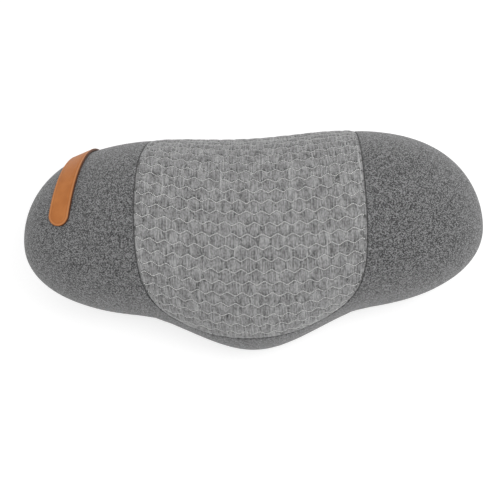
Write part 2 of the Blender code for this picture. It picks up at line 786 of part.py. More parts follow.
def main():
    """Build the cushion."""
    for old in list(bpy.data.objects):
        bpy.data.objects.remove(old, do_unlink=True)
    collection = bpy.data.collections.new(COLLECTION)
    cutters = bpy.data.collections.new("cutters")
    for group in (collection, cutters):
        bpy.context.scene.collection.children.link(group)
    finishes = {
        "quilt": make_material("quilted_grey_fabric", (0.20, 0.20, 0.21), 0.9),
        "heather": make_material("dark_heather_fabric", (0.10, 0.10, 0.105), 0.92),
        "wadding": make_material("white_wadding", (0.80, 0.80, 0.78), 0.95),
        "backing": make_material("black_backing_cloth", (0.05, 0.05, 0.05), 0.9),
        "liner": make_material("white_liner_cloth", (0.75, 0.75, 0.73), 0.9),
        "foam": make_material("yellow_foam", (0.80, 0.72, 0.45), 0.95),
        "thread": make_material("grey_thread", (0.12, 0.12, 0.13), 0.7),
        "tape": make_material("black_zip_tape", (0.03, 0.03, 0.03), 0.85),
        "teeth": make_material("black_zip_teeth", (0.03, 0.03, 0.03), 0.4),
        "metal": make_material("dark_nickel", (0.30, 0.30, 0.31), 0.35, 1.0),
        "leather": make_material("tan_leather", (0.42, 0.20, 0.10), 0.55),
        "label": make_material("white_label_tape", (0.80, 0.80, 0.80), 0.6),
    }
    azimuths = ring_azimuths()
    net = front_net(azimuths) + back_net(azimuths)
    build_layers(net, finishes, collection)
    build_threads(azimuths, finishes, collection)
    build_zip(finishes, collection)
    build_slider(finishes, collection, cutters)
    build_tab(finishes, collection)
    build_label(finishes, collection)


main()
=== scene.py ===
"""Looks of the lumbar support cushion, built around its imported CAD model.

The cover's panels, their quilting and stitches, the zip and the leather tab are made here
at full detail. They lie where the CAD nodes lie, and ride on the same bodies.
"""

from __future__ import annotations

import logging
import math
from dataclasses import dataclass, field
from enum import Enum
from typing import Iterable, Sequence

import bmesh
import bpy
import numpy as np
from mathutils import Matrix, Vector
from mathutils.geometry import delaunay_2d_cdt
from mathutils.kdtree import KDTree


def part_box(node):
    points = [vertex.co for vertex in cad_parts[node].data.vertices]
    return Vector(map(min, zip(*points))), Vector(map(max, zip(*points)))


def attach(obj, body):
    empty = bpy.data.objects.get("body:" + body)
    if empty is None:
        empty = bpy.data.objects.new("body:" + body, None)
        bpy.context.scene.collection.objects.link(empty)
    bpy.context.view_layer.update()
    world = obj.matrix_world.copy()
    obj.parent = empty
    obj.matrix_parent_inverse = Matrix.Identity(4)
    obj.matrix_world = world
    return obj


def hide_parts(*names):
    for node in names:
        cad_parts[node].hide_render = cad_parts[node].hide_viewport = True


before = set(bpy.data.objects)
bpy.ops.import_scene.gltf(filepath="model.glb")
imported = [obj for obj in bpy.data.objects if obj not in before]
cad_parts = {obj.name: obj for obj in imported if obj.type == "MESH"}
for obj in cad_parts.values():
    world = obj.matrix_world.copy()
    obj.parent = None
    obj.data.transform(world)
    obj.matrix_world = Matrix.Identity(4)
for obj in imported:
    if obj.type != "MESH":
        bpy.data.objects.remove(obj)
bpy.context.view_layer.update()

MM = 0.001
ZIP_Y = -8 * MM
LAYER_GAP = 0.1 * MM
LOG = logging.getLogger("cushion")


# ------------------------------------------------------------------ arrays

def unit(vectors: np.ndarray) -> np.ndarray:
    """Vectors scaled to length 1."""
    return vectors / np.maximum(np.linalg.norm(vectors, axis=-1, keepdims=True), 1e-12)


def smooth_step(value: np.ndarray, low: float, high: float) -> np.ndarray:
    """0 below low, 1 above high, and a smooth rise between them."""
    share = np.clip((value - low) / (high - low), 0, 1)
    return share * share * (3 - 2 * share)


def scatter(numbers: np.ndarray, seed: float) -> np.ndarray:
    """A repeatable number from 0 to 1 for each row of whole numbers."""
    mixed = numbers @ np.array([127.1, 311.7][:numbers.shape[1]]) + seed
    return np.modf(np.abs(np.sin(mixed) * 43758.5453))[0]


def resample(points: np.ndarray, step: float) -> np.ndarray:
    """Numbers along a line of points, as fractions of its index, at even distances.

    Args:
        points: the line's points in space.
        step: the distance wanted.

    Returns:
        Fractional indices into the line, with both its ends.
    """
    reach = np.r_[0, np.cumsum(np.linalg.norm(np.diff(points, axis=0), axis=1))]
    count = max(1, round(reach[-1] / step))
    wanted = reach[-1] * np.arange(count) / count
    return np.r_[np.interp(wanted, reach, np.arange(len(points))), len(points) - 1]


def pick(values: np.ndarray, numbers: np.ndarray) -> np.ndarray:
    """Values at fractional indices."""
    whole = np.arange(len(values))
    return np.stack([np.interp(numbers, whole, column) for column in values.T], axis=1)


# -------------------------------------------------------------------- form

@dataclass
class CushionForm:
    """The outer form of the cushion, a stretched sphere whose points belong to directions."""

    half_width: float = 215 * MM
    top_reach: float = 106 * MM
    top_dip: float = 3 * MM
    top_dip_width: float = 0.45
    bottom_reach: float = 70 * MM
    tongue_drop: float = 35 * MM
    tongue_width: float = 0.54
    tip_power: float = 4.0
    rim_height: float = 28 * MM
    wing_rise: float = 28 * MM
    crown: float = 77 * MM
    section_power: float = 2.1
    back_power: float = 6.0
    back_flatness: float = 4 * MM
    back_lift: float = 20 * MM
    back_lift_start: float = 0.5
    panel_half_width: float = 102 * MM
    panel_shift: float = 2.2 * MM
    panel_taper: tuple[float, float] = (22 * MM, 1 * MM)
    panel_turn: float = math.radians(90.5)
    panel_foot: float = math.radians(175)
    panel_arch: float = math.radians(18.5)
    corner_power: float = 3.4
    back_seam: float = math.radians(120)
    cover: float = 3.6 * MM

    @staticmethod
    def bell(value: np.ndarray, width: float) -> np.ndarray:
        """A smooth hump, 1 in the middle and 0 from width outwards."""
        return np.where(value < width, np.cos(np.pi * value / (2 * width)) ** 2, 0)

    @staticmethod
    def rounded(value: np.ndarray, power: float) -> np.ndarray:
        """A circle's coordinate turned into that of a superellipse."""
        return np.sign(value) * np.abs(value) ** (2 / power)

    def points(self, directions: np.ndarray) -> np.ndarray:
        """Points of the form that belong to directions."""
        along = np.clip(directions[..., 0], -1, 1)
        aside = np.abs(along)
        across = np.maximum(np.hypot(directions[..., 1], directions[..., 2]), 1e-9)
        cosine, sine = directions[..., 1] / across, directions[..., 2] / across
        end = np.sqrt(np.maximum(0, 1 - aside ** self.tip_power))
        top = (self.top_reach - self.top_dip * self.bell(aside, self.top_dip_width)) * end
        bottom = (self.bottom_reach + self.tongue_drop * self.bell(aside, self.tongue_width)) * end
        y = (top - bottom) / 2 + (top + bottom) / 2 * self.rounded(cosine, self.section_power)
        rim = self.rim_height + self.wing_rise * aside ** 2
        front = rim + self.crown * end * self.rounded(sine, self.section_power)
        lift = np.maximum(0, aside - self.back_lift_start) / (1 - self.back_lift_start)
        reach = rim + self.back_flatness - self.back_lift * lift ** 1.5
        back = rim + reach * np.sqrt(np.maximum(0, 1 - lift ** 3)) * self.rounded(sine, self.back_power)
        z = np.maximum(0, np.where(sine >= 0, front, back))
        return np.stack([self.half_width * along, y, z], axis=-1)

    def normals(self, directions: np.ndarray) -> np.ndarray:
        """Outward unit normals of the form."""
        helper = np.where(np.abs(directions[..., 2:3]) < 0.9, [0.0, 0.0, 1.0], [1.0, 0.0, 0.0])
        first = unit(np.cross(directions, helper))
        second = np.cross(directions, first)
        step = 0.004
        slopes = [self.points(unit(directions + side * step)) - self.points(unit(directions - side * step))
                  for side in (first, second)]
        normal = unit(np.cross(*slopes))
        return normal * np.where(np.sum(normal * directions, axis=-1, keepdims=True) > 0, 1, -1)

    def section(self, x: np.ndarray, angle: np.ndarray) -> np.ndarray:
        """Directions at x, at angles round the section from the top edge."""
        x, angle = np.broadcast_arrays(x, angle)
        along = np.clip(x / self.half_width, -1, 1)
        across = np.sqrt(1 - along * along)
        return np.stack([along, across * np.cos(angle), across * np.sin(angle)], axis=-1)

    @staticmethod
    def polar(angle: np.ndarray, azimuth: np.ndarray) -> np.ndarray:
        """Directions at angles from +Z, turned by azimuths from +X."""
        angle, azimuth = np.broadcast_arrays(angle, azimuth)
        return np.stack([np.sin(angle) * np.cos(azimuth), np.sin(angle) * np.sin(azimuth), np.cos(angle)],
                        axis=-1)

    def ring(self, azimuth: np.ndarray, offset: float) -> np.ndarray:
        """Directions on the back seam, moved towards the back by an offset."""
        step = 0.01
        ahead = self.points(self.polar(self.back_seam + step, azimuth))
        behind = self.points(self.polar(self.back_seam - step, azimuth))
        speed = np.linalg.norm(ahead - behind, axis=-1) / (2 * step)
        return self.polar(self.back_seam + offset / speed, azimuth)

    def back(self, x: np.ndarray, y: np.ndarray) -> np.ndarray:
        """Directions of the points of the back that lie over (x, y)."""
        low, high = np.full(np.shape(x), -math.pi), np.zeros(np.shape(x))
        for _ in range(40):
            middle = (low + high) / 2
            under = self.points(self.section(x, middle))[..., 1] < y
            low, high = np.where(under, middle, low), np.where(under, high, middle)
        return self.section(x, (low + high) / 2)

    def end_angle(self, x: np.ndarray, offset: float = 0.0) -> np.ndarray:
        """Angle round the section at which the back seam passes x, moved to the front by an offset."""
        along = x / self.half_width
        angle = np.arcsin(math.cos(self.back_seam) / np.sqrt(1 - along * along))
        return angle + offset / (60 * MM)

    def foot_reach(self, offset: float) -> float:
        """Turn from the panel's corner start to its foot."""
        top = self.panel_foot - self.panel_arch
        ends = self.points(self.section(np.zeros(2), np.array([top - 0.01, top + 0.01])))
        slope = np.linalg.norm(ends[1] - ends[0]) / 0.02
        return self.panel_foot - self.panel_turn + offset / slope

    def side_width(self, side: np.ndarray, offset: float) -> np.ndarray:
        """Distance of the panel's widest line from the middle, on a side."""
        return self.panel_half_width + side * self.panel_shift + offset

    def top_side(self, side: np.ndarray) -> np.ndarray:
        """How much narrower the panel is at its top, on a side."""
        return np.where(side < 0, self.panel_taper[0], self.panel_taper[1])

    def arched(self, x: np.ndarray, down: np.ndarray, offset: float) -> np.ndarray:
        """Angles of points of the panel's foot, at shares of the way down to it."""
        half = self.side_width(np.sign(x), offset)
        arch = self.panel_arch * self.bell(np.abs(x) / half, 1) * down ** 2
        return self.panel_turn + self.foot_reach(offset) * down - arch

    def in_panel(self, x: np.ndarray, angle: np.ndarray) -> np.ndarray:
        """Which points of the form lie inside the panel's side and foot edges."""
        side = np.sign(x)
        half = self.side_width(side, 0.0)
        taper = self.top_side(side)
        top = self.end_angle((half - taper) * side)
        share = (angle - self.panel_turn) / (top - self.panel_turn)
        above = np.abs(x) < half - taper * share ** 2
        down = np.clip((angle - self.panel_turn) / self.foot_reach(0.0), 0, 1)
        for _ in range(8):
            short = self.arched(x, down, 0.0) - angle
            down = np.clip(down - short / self.foot_reach(0.0), 0, 1.2)
        below = (np.abs(x) / half) ** self.corner_power + down ** self.corner_power < 1
        return np.where(angle < self.panel_turn, above, below)

    def panel_edge(self, offset: float, count: int = 220) -> np.ndarray:
        """Directions along the quilted panel's edge, from the left of the top round the foot to the right."""
        halves = []
        power = 2 / self.corner_power
        for side in (-1, 1):
            taper = float(self.top_side(side))
            half = self.side_width(side, offset)
            top = float(self.end_angle(np.array((half - taper) * side)))
            angle = top + (self.panel_turn - top) * np.linspace(0, 1, count, endpoint=False)
            angle = np.where(angle < 0, top * np.clip(angle / top, 0, 1) ** 3, angle)
            share = (angle - self.panel_turn) / (top - self.panel_turn)
            sides = self.section(side * (half - taper * share ** 2), angle)
            turn = np.linspace(0, math.pi / 2, count, endpoint=False)
            x = side * half * np.cos(turn) ** power
            corner = self.section(x, self.arched(x, np.sin(turn) ** power, offset))
            halves.append(np.concatenate([sides, corner]))
        foot = self.section(np.zeros(1), self.arched(np.zeros(1), np.ones(1), offset))
        return np.concatenate([halves[0], foot, halves[1][::-1]])


FORM = CushionForm(half_width=float(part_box("surround_panel")[1].x))


class Pole(Enum):
    """The side of the form that a flat map is centred on."""

    FRONT = 1
    BACK = -1


@dataclass
class FormChart:
    """A flat map of the form, whose distances are roughly the real ones."""

    pole: Pole
    form: CushionForm = field(default_factory=lambda: FORM)
    stretch: tuple[float, float] = (0.205, 0.100)
    rim_share: float = 0.37

    def flatten(self, directions: np.ndarray) -> np.ndarray:
        """Places of directions on the map."""
        angle = np.arccos(np.clip(directions[..., 2] * self.pole.value, -1, 1))
        if self.pole is Pole.FRONT:
            past = np.maximum(0, angle - math.pi / 2)
            angle = np.where(past > 0, math.pi / 2 + self.rim_share * np.sin(past) ** (1 / 3), angle)
        azimuth = np.arctan2(directions[..., 1], directions[..., 0])
        return np.stack([angle * np.cos(azimuth), angle * np.sin(azimuth)], axis=-1) * self.stretch

    def directions(self, places: np.ndarray) -> np.ndarray:
        """Directions of places on the map."""
        plain = places / self.stretch
        angle = np.hypot(plain[..., 0], plain[..., 1])
        azimuth = np.arctan2(plain[..., 1], plain[..., 0])
        if self.pole is Pole.FRONT:
            past = np.clip((angle - math.pi / 2) / self.rim_share, 0, 1) ** 3
            angle = np.where(past > 0, math.pi / 2 + np.arcsin(past), angle)
        found = self.form.polar(angle, azimuth)
        return found * [1, 1, self.pole.value]

    def lift(self, places: np.ndarray) -> tuple[np.ndarray, np.ndarray]:
        """Points and outward normals of places on the map."""
        directions = self.directions(places)
        return self.form.points(directions), self.form.normals(directions)


@dataclass
class StripChart:
    """A flat map of a strip that lies along a line on the form: x runs along it and y across."""

    points: np.ndarray
    normals: np.ndarray

    def __post_init__(self) -> None:
        """Work out the distance along the line and the side direction at each of its points."""
        ahead = unit(np.gradient(self.points, axis=0))
        self.normals = unit(self.normals - ahead * np.sum(ahead * self.normals, axis=1, keepdims=True))
        self.aside = np.cross(self.normals, ahead)
        self.reach = np.r_[0, np.cumsum(np.linalg.norm(np.diff(self.points, axis=0), axis=1))]

    def lift(self, places: np.ndarray) -> tuple[np.ndarray, np.ndarray]:
        """Points and outward normals of places on the strip."""
        number = np.interp(places[:, 0], self.reach, np.arange(len(self.reach)))
        beyond = places[:, :1] - np.clip(places[:, :1], 0, self.reach[-1])
        normals = unit(pick(self.normals, number))
        aside = unit(pick(self.aside, number))
        ahead = np.cross(aside, normals)
        return pick(self.points, number) + aside * places[:, 1:] + ahead * beyond, normals


# ------------------------------------------------------------------ meshes

def inside(places: np.ndarray, outline: np.ndarray) -> np.ndarray:
    """Which places lie inside a closed outline."""
    found = np.zeros(len(places), bool)
    ends = np.roll(outline, -1, axis=0)
    for (x0, y0), (x1, y1) in zip(outline, ends):
        if y0 == y1:
            continue
        band = (y0 > places[:, 1]) != (y1 > places[:, 1])
        found ^= band & (places[:, 0] < x0 + (places[:, 1] - y0) / (y1 - y0) * (x1 - x0))
    return found


def distances(points: np.ndarray, line: np.ndarray) -> np.ndarray:
    """Distance of each point from the nearest point of a finely sampled line."""
    tree = KDTree(len(line))
    for number, place in enumerate(line):
        tree.insert(place, number)
    tree.balance()
    return np.array([tree.find(place)[2] for place in points])


@dataclass
class Patch:
    """A triangulated piece of a flat map, finer towards its edge.

    Fields:
        chart: the map that the outline is drawn on.
        outline: the corners of the closed outline, in order.
        spacing: distance between the points in the middle.
        insets: distances from the edge at which rows of points run along it.
    """

    chart: FormChart | StripChart
    outline: np.ndarray
    spacing: float
    insets: Sequence[float] = (0.25 * MM, 0.6 * MM, 1.1 * MM, 1.9 * MM)

    def __post_init__(self) -> None:
        """Triangulate the piece and lift it off the map."""
        steps = np.linspace(0, 1, 4, endpoint=False)[:, None, None]
        ends = np.roll(self.outline, -1, axis=0)
        fine = (self.outline + steps * (ends - self.outline)).transpose(1, 0, 2).reshape(-1, 2)
        self.edge_line = self.chart.lift(fine)[0]
        rows = self.inset_rows()
        far = distances(self.chart.lift(rows)[0], self.edge_line)
        wanted = np.repeat(self.insets, len(self.outline))
        rows = rows[(far > 0.8 * wanted) & inside(rows, self.outline)]
        low, high = self.outline.min(0), self.outline.max(0)
        columns = np.arange(low[0], high[0], self.spacing)
        lines = np.arange(low[1], high[1], self.spacing * 0.87)
        grid = np.stack(np.meshgrid(columns, lines), axis=-1)
        grid[1::2, :, 0] += self.spacing / 2
        grid = grid.reshape(-1, 2)
        grid = grid[inside(grid, self.outline)]
        clear = max(self.insets) + 0.45 * self.spacing
        grid = grid[distances(self.chart.lift(grid)[0], self.edge_line) > clear] if len(grid) else grid
        places = np.concatenate([self.outline, rows, grid])
        count = len(self.outline)
        edges = [(i, (i + 1) % count) for i in range(count)]
        found = delaunay_2d_cdt([Vector(place) for place in places], edges, [], 0, 1e-8, False)
        self.places = np.array([tuple(place) for place in found[0]])
        faces = np.array(found[2])
        middles = self.places[faces].mean(axis=1)
        self.faces = faces[inside(middles, self.outline)]
        self.points, self.normals = self.chart.lift(self.places)
        self.edge = distances(self.points, self.edge_line)
        self.edge[:count] = 0
        first = self.points[self.faces]
        crossed = np.cross(first[:, 1] - first[:, 0], first[:, 2] - first[:, 0])
        if np.sum(crossed * self.normals[self.faces[:, 0]]) < 0:
            self.faces = self.faces[:, ::-1]

    def inset_rows(self) -> np.ndarray:
        """Rows of points that run along the outline inside it."""
        ahead = unit(np.roll(self.outline, -1, axis=0) - np.roll(self.outline, 1, axis=0))
        area = np.sum(np.cross(self.outline, np.roll(self.outline, -1, axis=0)))
        inward = np.stack([-ahead[:, 1], ahead[:, 0]], axis=1) * (1 if area > 0 else -1)
        tiny = 0.2 * MM
        start = self.chart.lift(self.outline)[0]
        tangent = unit(self.chart.lift(self.outline + ahead * tiny)[0] - start)
        move = self.chart.lift(self.outline + inward * tiny)[0] - start
        move -= tangent * np.sum(move * tangent, axis=1, keepdims=True)
        scale = tiny / np.maximum(np.linalg.norm(move, axis=1, keepdims=True), 0.2 * tiny)
        return np.concatenate([self.outline + inward * scale * distance for distance in self.insets])


def roll_depth(edge: np.ndarray, radius: float) -> np.ndarray:
    """Depth by which fabric turns down towards its edge."""
    left = np.clip(radius - edge, 0, radius)
    return radius - np.sqrt(radius * radius - left * left)


@dataclass(frozen=True)
class SewnEdge:
    """How cloth rolls under at a seam, and how far the seam pulls it in."""

    clearance: float = 0.12 * MM
    roll: float = 0.9 * MM
    pull: float = 0.6 * MM
    reach: float = 6 * MM

    def pulled(self, edge: np.ndarray | float) -> np.ndarray | float:
        """Depth to which the seam pulls the cloth, at distances from it."""
        return self.pull * np.exp(-edge / self.reach)

    def depth(self, edge: np.ndarray) -> np.ndarray:
        """Depth of the cloth's surface at distances from its edge."""
        return roll_depth(edge, self.roll) + self.pulled(edge)


SEAM = SewnEdge()


def shell_faces(faces: np.ndarray, count: int) -> np.ndarray:
    """Faces of a closed shell, from those of its outer side.

    Args:
        faces: triangles of the outer side.
        count: number of points of the outer side. Point i + count is the inner one of point i.

    Returns:
        Triangles of both sides and of the wall between them.
    """
    edges = np.concatenate([faces[:, [0, 1]], faces[:, [1, 2]], faces[:, [2, 0]]])
    keys = edges[:, 0].astype(np.int64) * count + edges[:, 1]
    twins = edges[:, 1].astype(np.int64) * count + edges[:, 0]
    rim = edges[~np.isin(keys, twins)]
    start, end = rim[:, 0], rim[:, 1]
    wall = np.concatenate([np.stack([end, start, start + count], axis=1),
                           np.stack([end, start + count, end + count], axis=1)])
    return np.concatenate([faces, faces[:, ::-1] + count, wall])


def linked(name: str, mesh: bpy.types.Mesh) -> bpy.types.Object:
    """A new object in the scene."""
    piece = bpy.data.objects.new(name, mesh)
    bpy.context.scene.collection.objects.link(piece)
    return piece


def apply_modifiers(piece: bpy.types.Object) -> bpy.types.Mesh:
    """Turn a piece into the plain mesh that its modifiers make."""
    bpy.context.view_layer.update()
    made = bpy.data.meshes.new_from_object(piece.evaluated_get(bpy.context.evaluated_depsgraph_get()))
    piece.modifiers.clear()
    piece.data = made
    return made


def make_mesh(name: str, points: np.ndarray, faces: np.ndarray,
              values: dict[str, np.ndarray] | None = None, uv: np.ndarray | None = None,
              sharp: float = 60.0) -> bpy.types.Object:
    """A piece from points and triangles.

    Args:
        name: name of the piece.
        points: its points.
        faces: its triangles.
        values: a number for each point, under each attribute's name.
        uv: a place on the cloth for each point, in metres.
        sharp: angle in degrees past which an edge is shaded sharp.

    Returns:
        The new object, in the scene.
    """
    mesh = bpy.data.meshes.new(name)
    mesh.vertices.add(len(points))
    mesh.vertices.foreach_set("co", np.ascontiguousarray(points, np.float32).ravel())
    mesh.loops.add(faces.size)
    mesh.loops.foreach_set("vertex_index", np.ascontiguousarray(faces, np.int32).ravel())
    mesh.polygons.add(len(faces))
    mesh.polygons.foreach_set("loop_start", np.arange(0, faces.size, 3, dtype=np.int32))
    mesh.update(calc_edges=True)
    mesh.validate()
    for key, numbers in (values or {}).items():
        layer = mesh.attributes.new(key, "FLOAT", "POINT")
        layer.data.foreach_set("value", np.ascontiguousarray(numbers, np.float32))
    if uv is not None:
        layer = mesh.uv_layers.new(name="cloth")
        corners = np.zeros(len(mesh.loops), np.int32)
        mesh.loops.foreach_get("vertex_index", corners)
        layer.data.foreach_set("uv", np.ascontiguousarray(uv[corners], np.float32).ravel())
    mesh.shade_smooth()
    mesh.set_sharp_from_angle(angle=math.radians(sharp))
    return linked(name, mesh)


def finish_piece(piece: bpy.types.Object, body: str, nodes: Iterable[str],
                 material: bpy.types.Material | None = None) -> bpy.types.Object:
    """Dress a piece, give it to a body and hide the CAD nodes that it stands for.

    Args:
        piece: the finished piece.
        body: the CAD body that it moves with.
        nodes: the CAD nodes that it replaces.
        material: its finish, unless it has one.

    Returns:
        The piece.
    """
    if material is not None:
        piece.data.materials.clear()
        piece.data.materials.append(material)
    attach(piece, body)
    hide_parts(*nodes)
    LOG.info("%s: %d faces, on %s", piece.name, len(piece.data.polygons), body)
    return piece


# ------------------------------------------------------------ cloth swelling

@dataclass
class CoverSwelling:
    """How the stuffed cover swells between the seams that hold it, from a cloth simulation."""

    voxel: float = 5 * MM
    pressure: float = 4.0
    frames: int = 20
    inset: float = 2 * MM
    cap: float = 2.4 * MM
    held_reach: float = 5 * MM

    def __post_init__(self) -> None:
        """Simulate the closed cover and keep how far its points moved."""
        self.places = np.zeros((1, 3))
        self.moves = np.zeros(1)
        self.simulate()
        self.tree = KDTree(len(self.places))
        for number, place in enumerate(self.places):
            self.tree.insert(place, number)
        self.tree.balance()

    def start_shape(self) -> bpy.types.Object:
        """The closed cover before it swells, with its held points in a vertex group."""
        directions, faces = even_sphere()
        mesh = bpy.data.meshes.new("swelling")
        places = FORM.points(directions) - FORM.normals(directions) * self.inset
        mesh.from_pydata(places.tolist(), [], faces.tolist())
        ball = linked("swelling", mesh)
        remesh = ball.modifiers.new("even", "REMESH")
        remesh.mode = "VOXEL"
        remesh.voxel_size = self.voxel
        apply_modifiers(ball)
        return ball

    def simulate(self) -> None:
        """Blow the cover up a little, with its seams held."""
        ball = self.start_shape()
        mesh = ball.data
        before = np.zeros(len(mesh.vertices) * 3, np.float32)
        mesh.vertices.foreach_get("co", before)
        before = before.reshape(-1, 3).astype(float)
        normals = np.array([tuple(vert.normal) for vert in mesh.vertices])
        seams = np.concatenate([FORM.points(FORM.panel_edge(0)),
                                FORM.points(FORM.ring(np.linspace(-math.pi, math.pi, 900), 0))])
        held = (distances(before, seams) < self.held_reach) | (before[:, 2] < self.inset + 0.5 * MM)
        group = ball.vertex_groups.new(name="held")
        group.add(np.nonzero(held)[0].tolist(), 1.0, "REPLACE")
        cloth = ball.modifiers.new("swelling", "CLOTH")
        cloth.settings.quality = 5
        cloth.settings.mass = 0.3
        cloth.settings.use_pressure = True
        cloth.settings.uniform_pressure_force = self.pressure
        cloth.settings.effector_weights.gravity = 0
        cloth.settings.vertex_group_mass = "held"
        cloth.point_cache.frame_start = 1
        cloth.point_cache.frame_end = self.frames
        for number in range(1, self.frames + 1):
            bpy.context.scene.frame_set(number)
        shown = ball.evaluated_get(bpy.context.evaluated_depsgraph_get())
        after = np.zeros(len(shown.data.vertices) * 3, np.float32)
        shown.data.vertices.foreach_get("co", after)
        moved = np.sum((after.reshape(-1, 3) - before) * normals, axis=1)
        bpy.data.objects.remove(ball, do_unlink=True)
        bpy.context.scene.frame_set(1)
        moved = np.clip(moved, -self.cap, self.cap)
        moved[~held] -= np.median(moved[~held])
        self.places = before
        self.moves = np.where(held, 0, moved)
        LOG.info("cover swelling: %d points, moves of %.2f to %.2f mm", len(before),
                 moved.min() / MM, moved.max() / MM)

    def at(self, points: np.ndarray) -> np.ndarray:
        """How far the cover has swollen at points."""
        found = np.zeros(len(points))
        if len(self.places) < 8:
            return found
        for number, point in enumerate(points):
            near = self.tree.find_n(point, 6)
            weights = np.array([1 / (distance * distance + 4e-6) for _, _, distance in near])
            found[number] = np.dot(weights, self.moves[[index for _, index, _ in near]]) / weights.sum()
        return found


def even_directions(directions: np.ndarray) -> np.ndarray:
    """Directions moved so that the form's points lie evenly below its rim."""
    z = directions[:, 2]
    lower = np.where(z < 0, -z * z, z)
    scale = np.sqrt(np.maximum(0, 1 - lower * lower) / np.maximum(1e-9, 1 - z * z))
    return unit(np.stack([directions[:, 0] * scale, directions[:, 1] * scale, lower], axis=1))


def even_sphere() -> tuple[np.ndarray, np.ndarray]:
    """Directions spread evenly over the form, and the triangles between them."""
    bm = bmesh.new()
    bmesh.ops.create_icosphere(bm, subdivisions=6, radius=1)
    directions = even_directions(np.array([tuple(vert.co) for vert in bm.verts]))
    faces = np.array([[vert.index for vert in face.verts] for face in bm.faces])
    bm.free()
    return directions, faces


# --------------------------------------------------------------- node trees

class Graph:
    """A short way to add linked nodes to a tree."""

    def __init__(self, tree: bpy.types.NodeTree) -> None:
        """Keep the tree that nodes are added to."""
        self.tree = tree

    def add(self, kind: str, inputs: dict[str | int, object] | None = None,
            **settings: object) -> bpy.types.Node:
        """Add a node.

        Args:
            kind: type name of the node.
            inputs: a value or an output socket for each input.
            settings: the node's own properties.

        Returns:
            The new node.
        """
        node = self.tree.nodes.new(kind)
        for key, value in settings.items():
            setattr(node, key, value)
        for key, value in (inputs or {}).items():
            if isinstance(value, bpy.types.NodeSocket):
                self.tree.links.new(value, node.inputs[key])
            else:
                node.inputs[key].default_value = value
        return node

    def math(self, operation: str, *values: object, clamp: bool = False) -> bpy.types.NodeSocket:
        """The result of a sum on numbers or sockets."""
        return self.add("ShaderNodeMath", dict(enumerate(values)), operation=operation,
                        use_clamp=clamp).outputs[0]

    def scaled(self, vector: bpy.types.NodeSocket, scale: Sequence[float]) -> bpy.types.NodeSocket:
        """A vector with each coordinate multiplied by a number."""
        return self.add("ShaderNodeMapping", {"Vector": vector, "Scale": tuple(scale)}).outputs[0]

    def noise(self, vector: bpy.types.NodeSocket, scale: float, detail: float = 2.0,
              roughness: float = 0.5) -> bpy.types.NodeSocket:
        """Noise from 0 to 1."""
        inputs = {"Vector": vector, "Scale": scale, "Detail": detail, "Roughness": roughness}
        return self.add("ShaderNodeTexNoise", inputs).outputs[0]

    def spread(self, value: bpy.types.NodeSocket, low: float, high: float, to_low: float = 0.0,
               to_high: float = 1.0) -> bpy.types.NodeSocket:
        """A value stretched from one range to another, and kept in it."""
        inputs = {0: value, 1: low, 2: high, 3: to_low, 4: to_high}
        return self.add("ShaderNodeMapRange", inputs, clamp=True).outputs[0]

    def blend(self, share: object, first: object, second: object) -> bpy.types.NodeSocket:
        """A mix of two colours."""
        node = self.add("ShaderNodeMix", {0: share, 6: first, 7: second}, data_type="RGBA")
        return node.outputs[2]

    def group(self, name: str, **inputs: object) -> bpy.types.Node:
        """A use of one of the shared node groups."""
        return self.add("ShaderNodeGroup", inputs, node_tree=GROUPS[name])

    def attribute(self, name: str) -> bpy.types.NodeSocket:
        """A number that the mesh holds for each point."""
        return self.add("ShaderNodeAttribute", attribute_name=name).outputs["Fac"]

    def darkened(self, colour: bpy.types.NodeSocket, share: bpy.types.NodeSocket) -> bpy.types.NodeSocket:
        """A colour multiplied by a number."""
        tone = self.add("ShaderNodeCombineColor", {0: share, 1: share, 2: share}).outputs[0]
        return self.add("ShaderNodeMix", {0: 1.0, 6: colour, 7: tone}, data_type="RGBA",
                        blend_type="MULTIPLY").outputs[2]

    def bump(self, height: bpy.types.NodeSocket, distance: float, strength: float = 1.0,
             normal: bpy.types.NodeSocket | None = None) -> bpy.types.NodeSocket:
        """A normal from a height."""
        inputs = {"Height": height, "Distance": distance, "Strength": strength}
        if normal is not None:
            inputs["Normal"] = normal
        return self.add("ShaderNodeBump", inputs).outputs[0]


def new_group(name: str, inputs: Sequence[tuple[str, str, object]],
              outputs: Sequence[tuple[str, str]]) -> tuple[bpy.types.NodeTree, Graph, dict, dict]:
    """An empty shader node group.

    Args:
        name: name of the group.
        inputs: name, kind and usual value of each input.
        outputs: name and kind of each output.

    Returns:
        The group, its graph, its input sockets by name, and its output node's sockets by name.
    """
    tree = bpy.data.node_groups.new(name, "ShaderNodeTree")
    for label, kind, usual in inputs:
        socket = tree.interface.new_socket(name=label, in_out="INPUT", socket_type=f"NodeSocket{kind}")
        if usual is not None:
            socket.default_value = usual
    for label, kind in outputs:
        tree.interface.new_socket(name=label, in_out="OUTPUT", socket_type=f"NodeSocket{kind}")
    start, end = tree.nodes.new("NodeGroupInput"), tree.nodes.new("NodeGroupOutput")
    return tree, Graph(tree), start.outputs, end.inputs


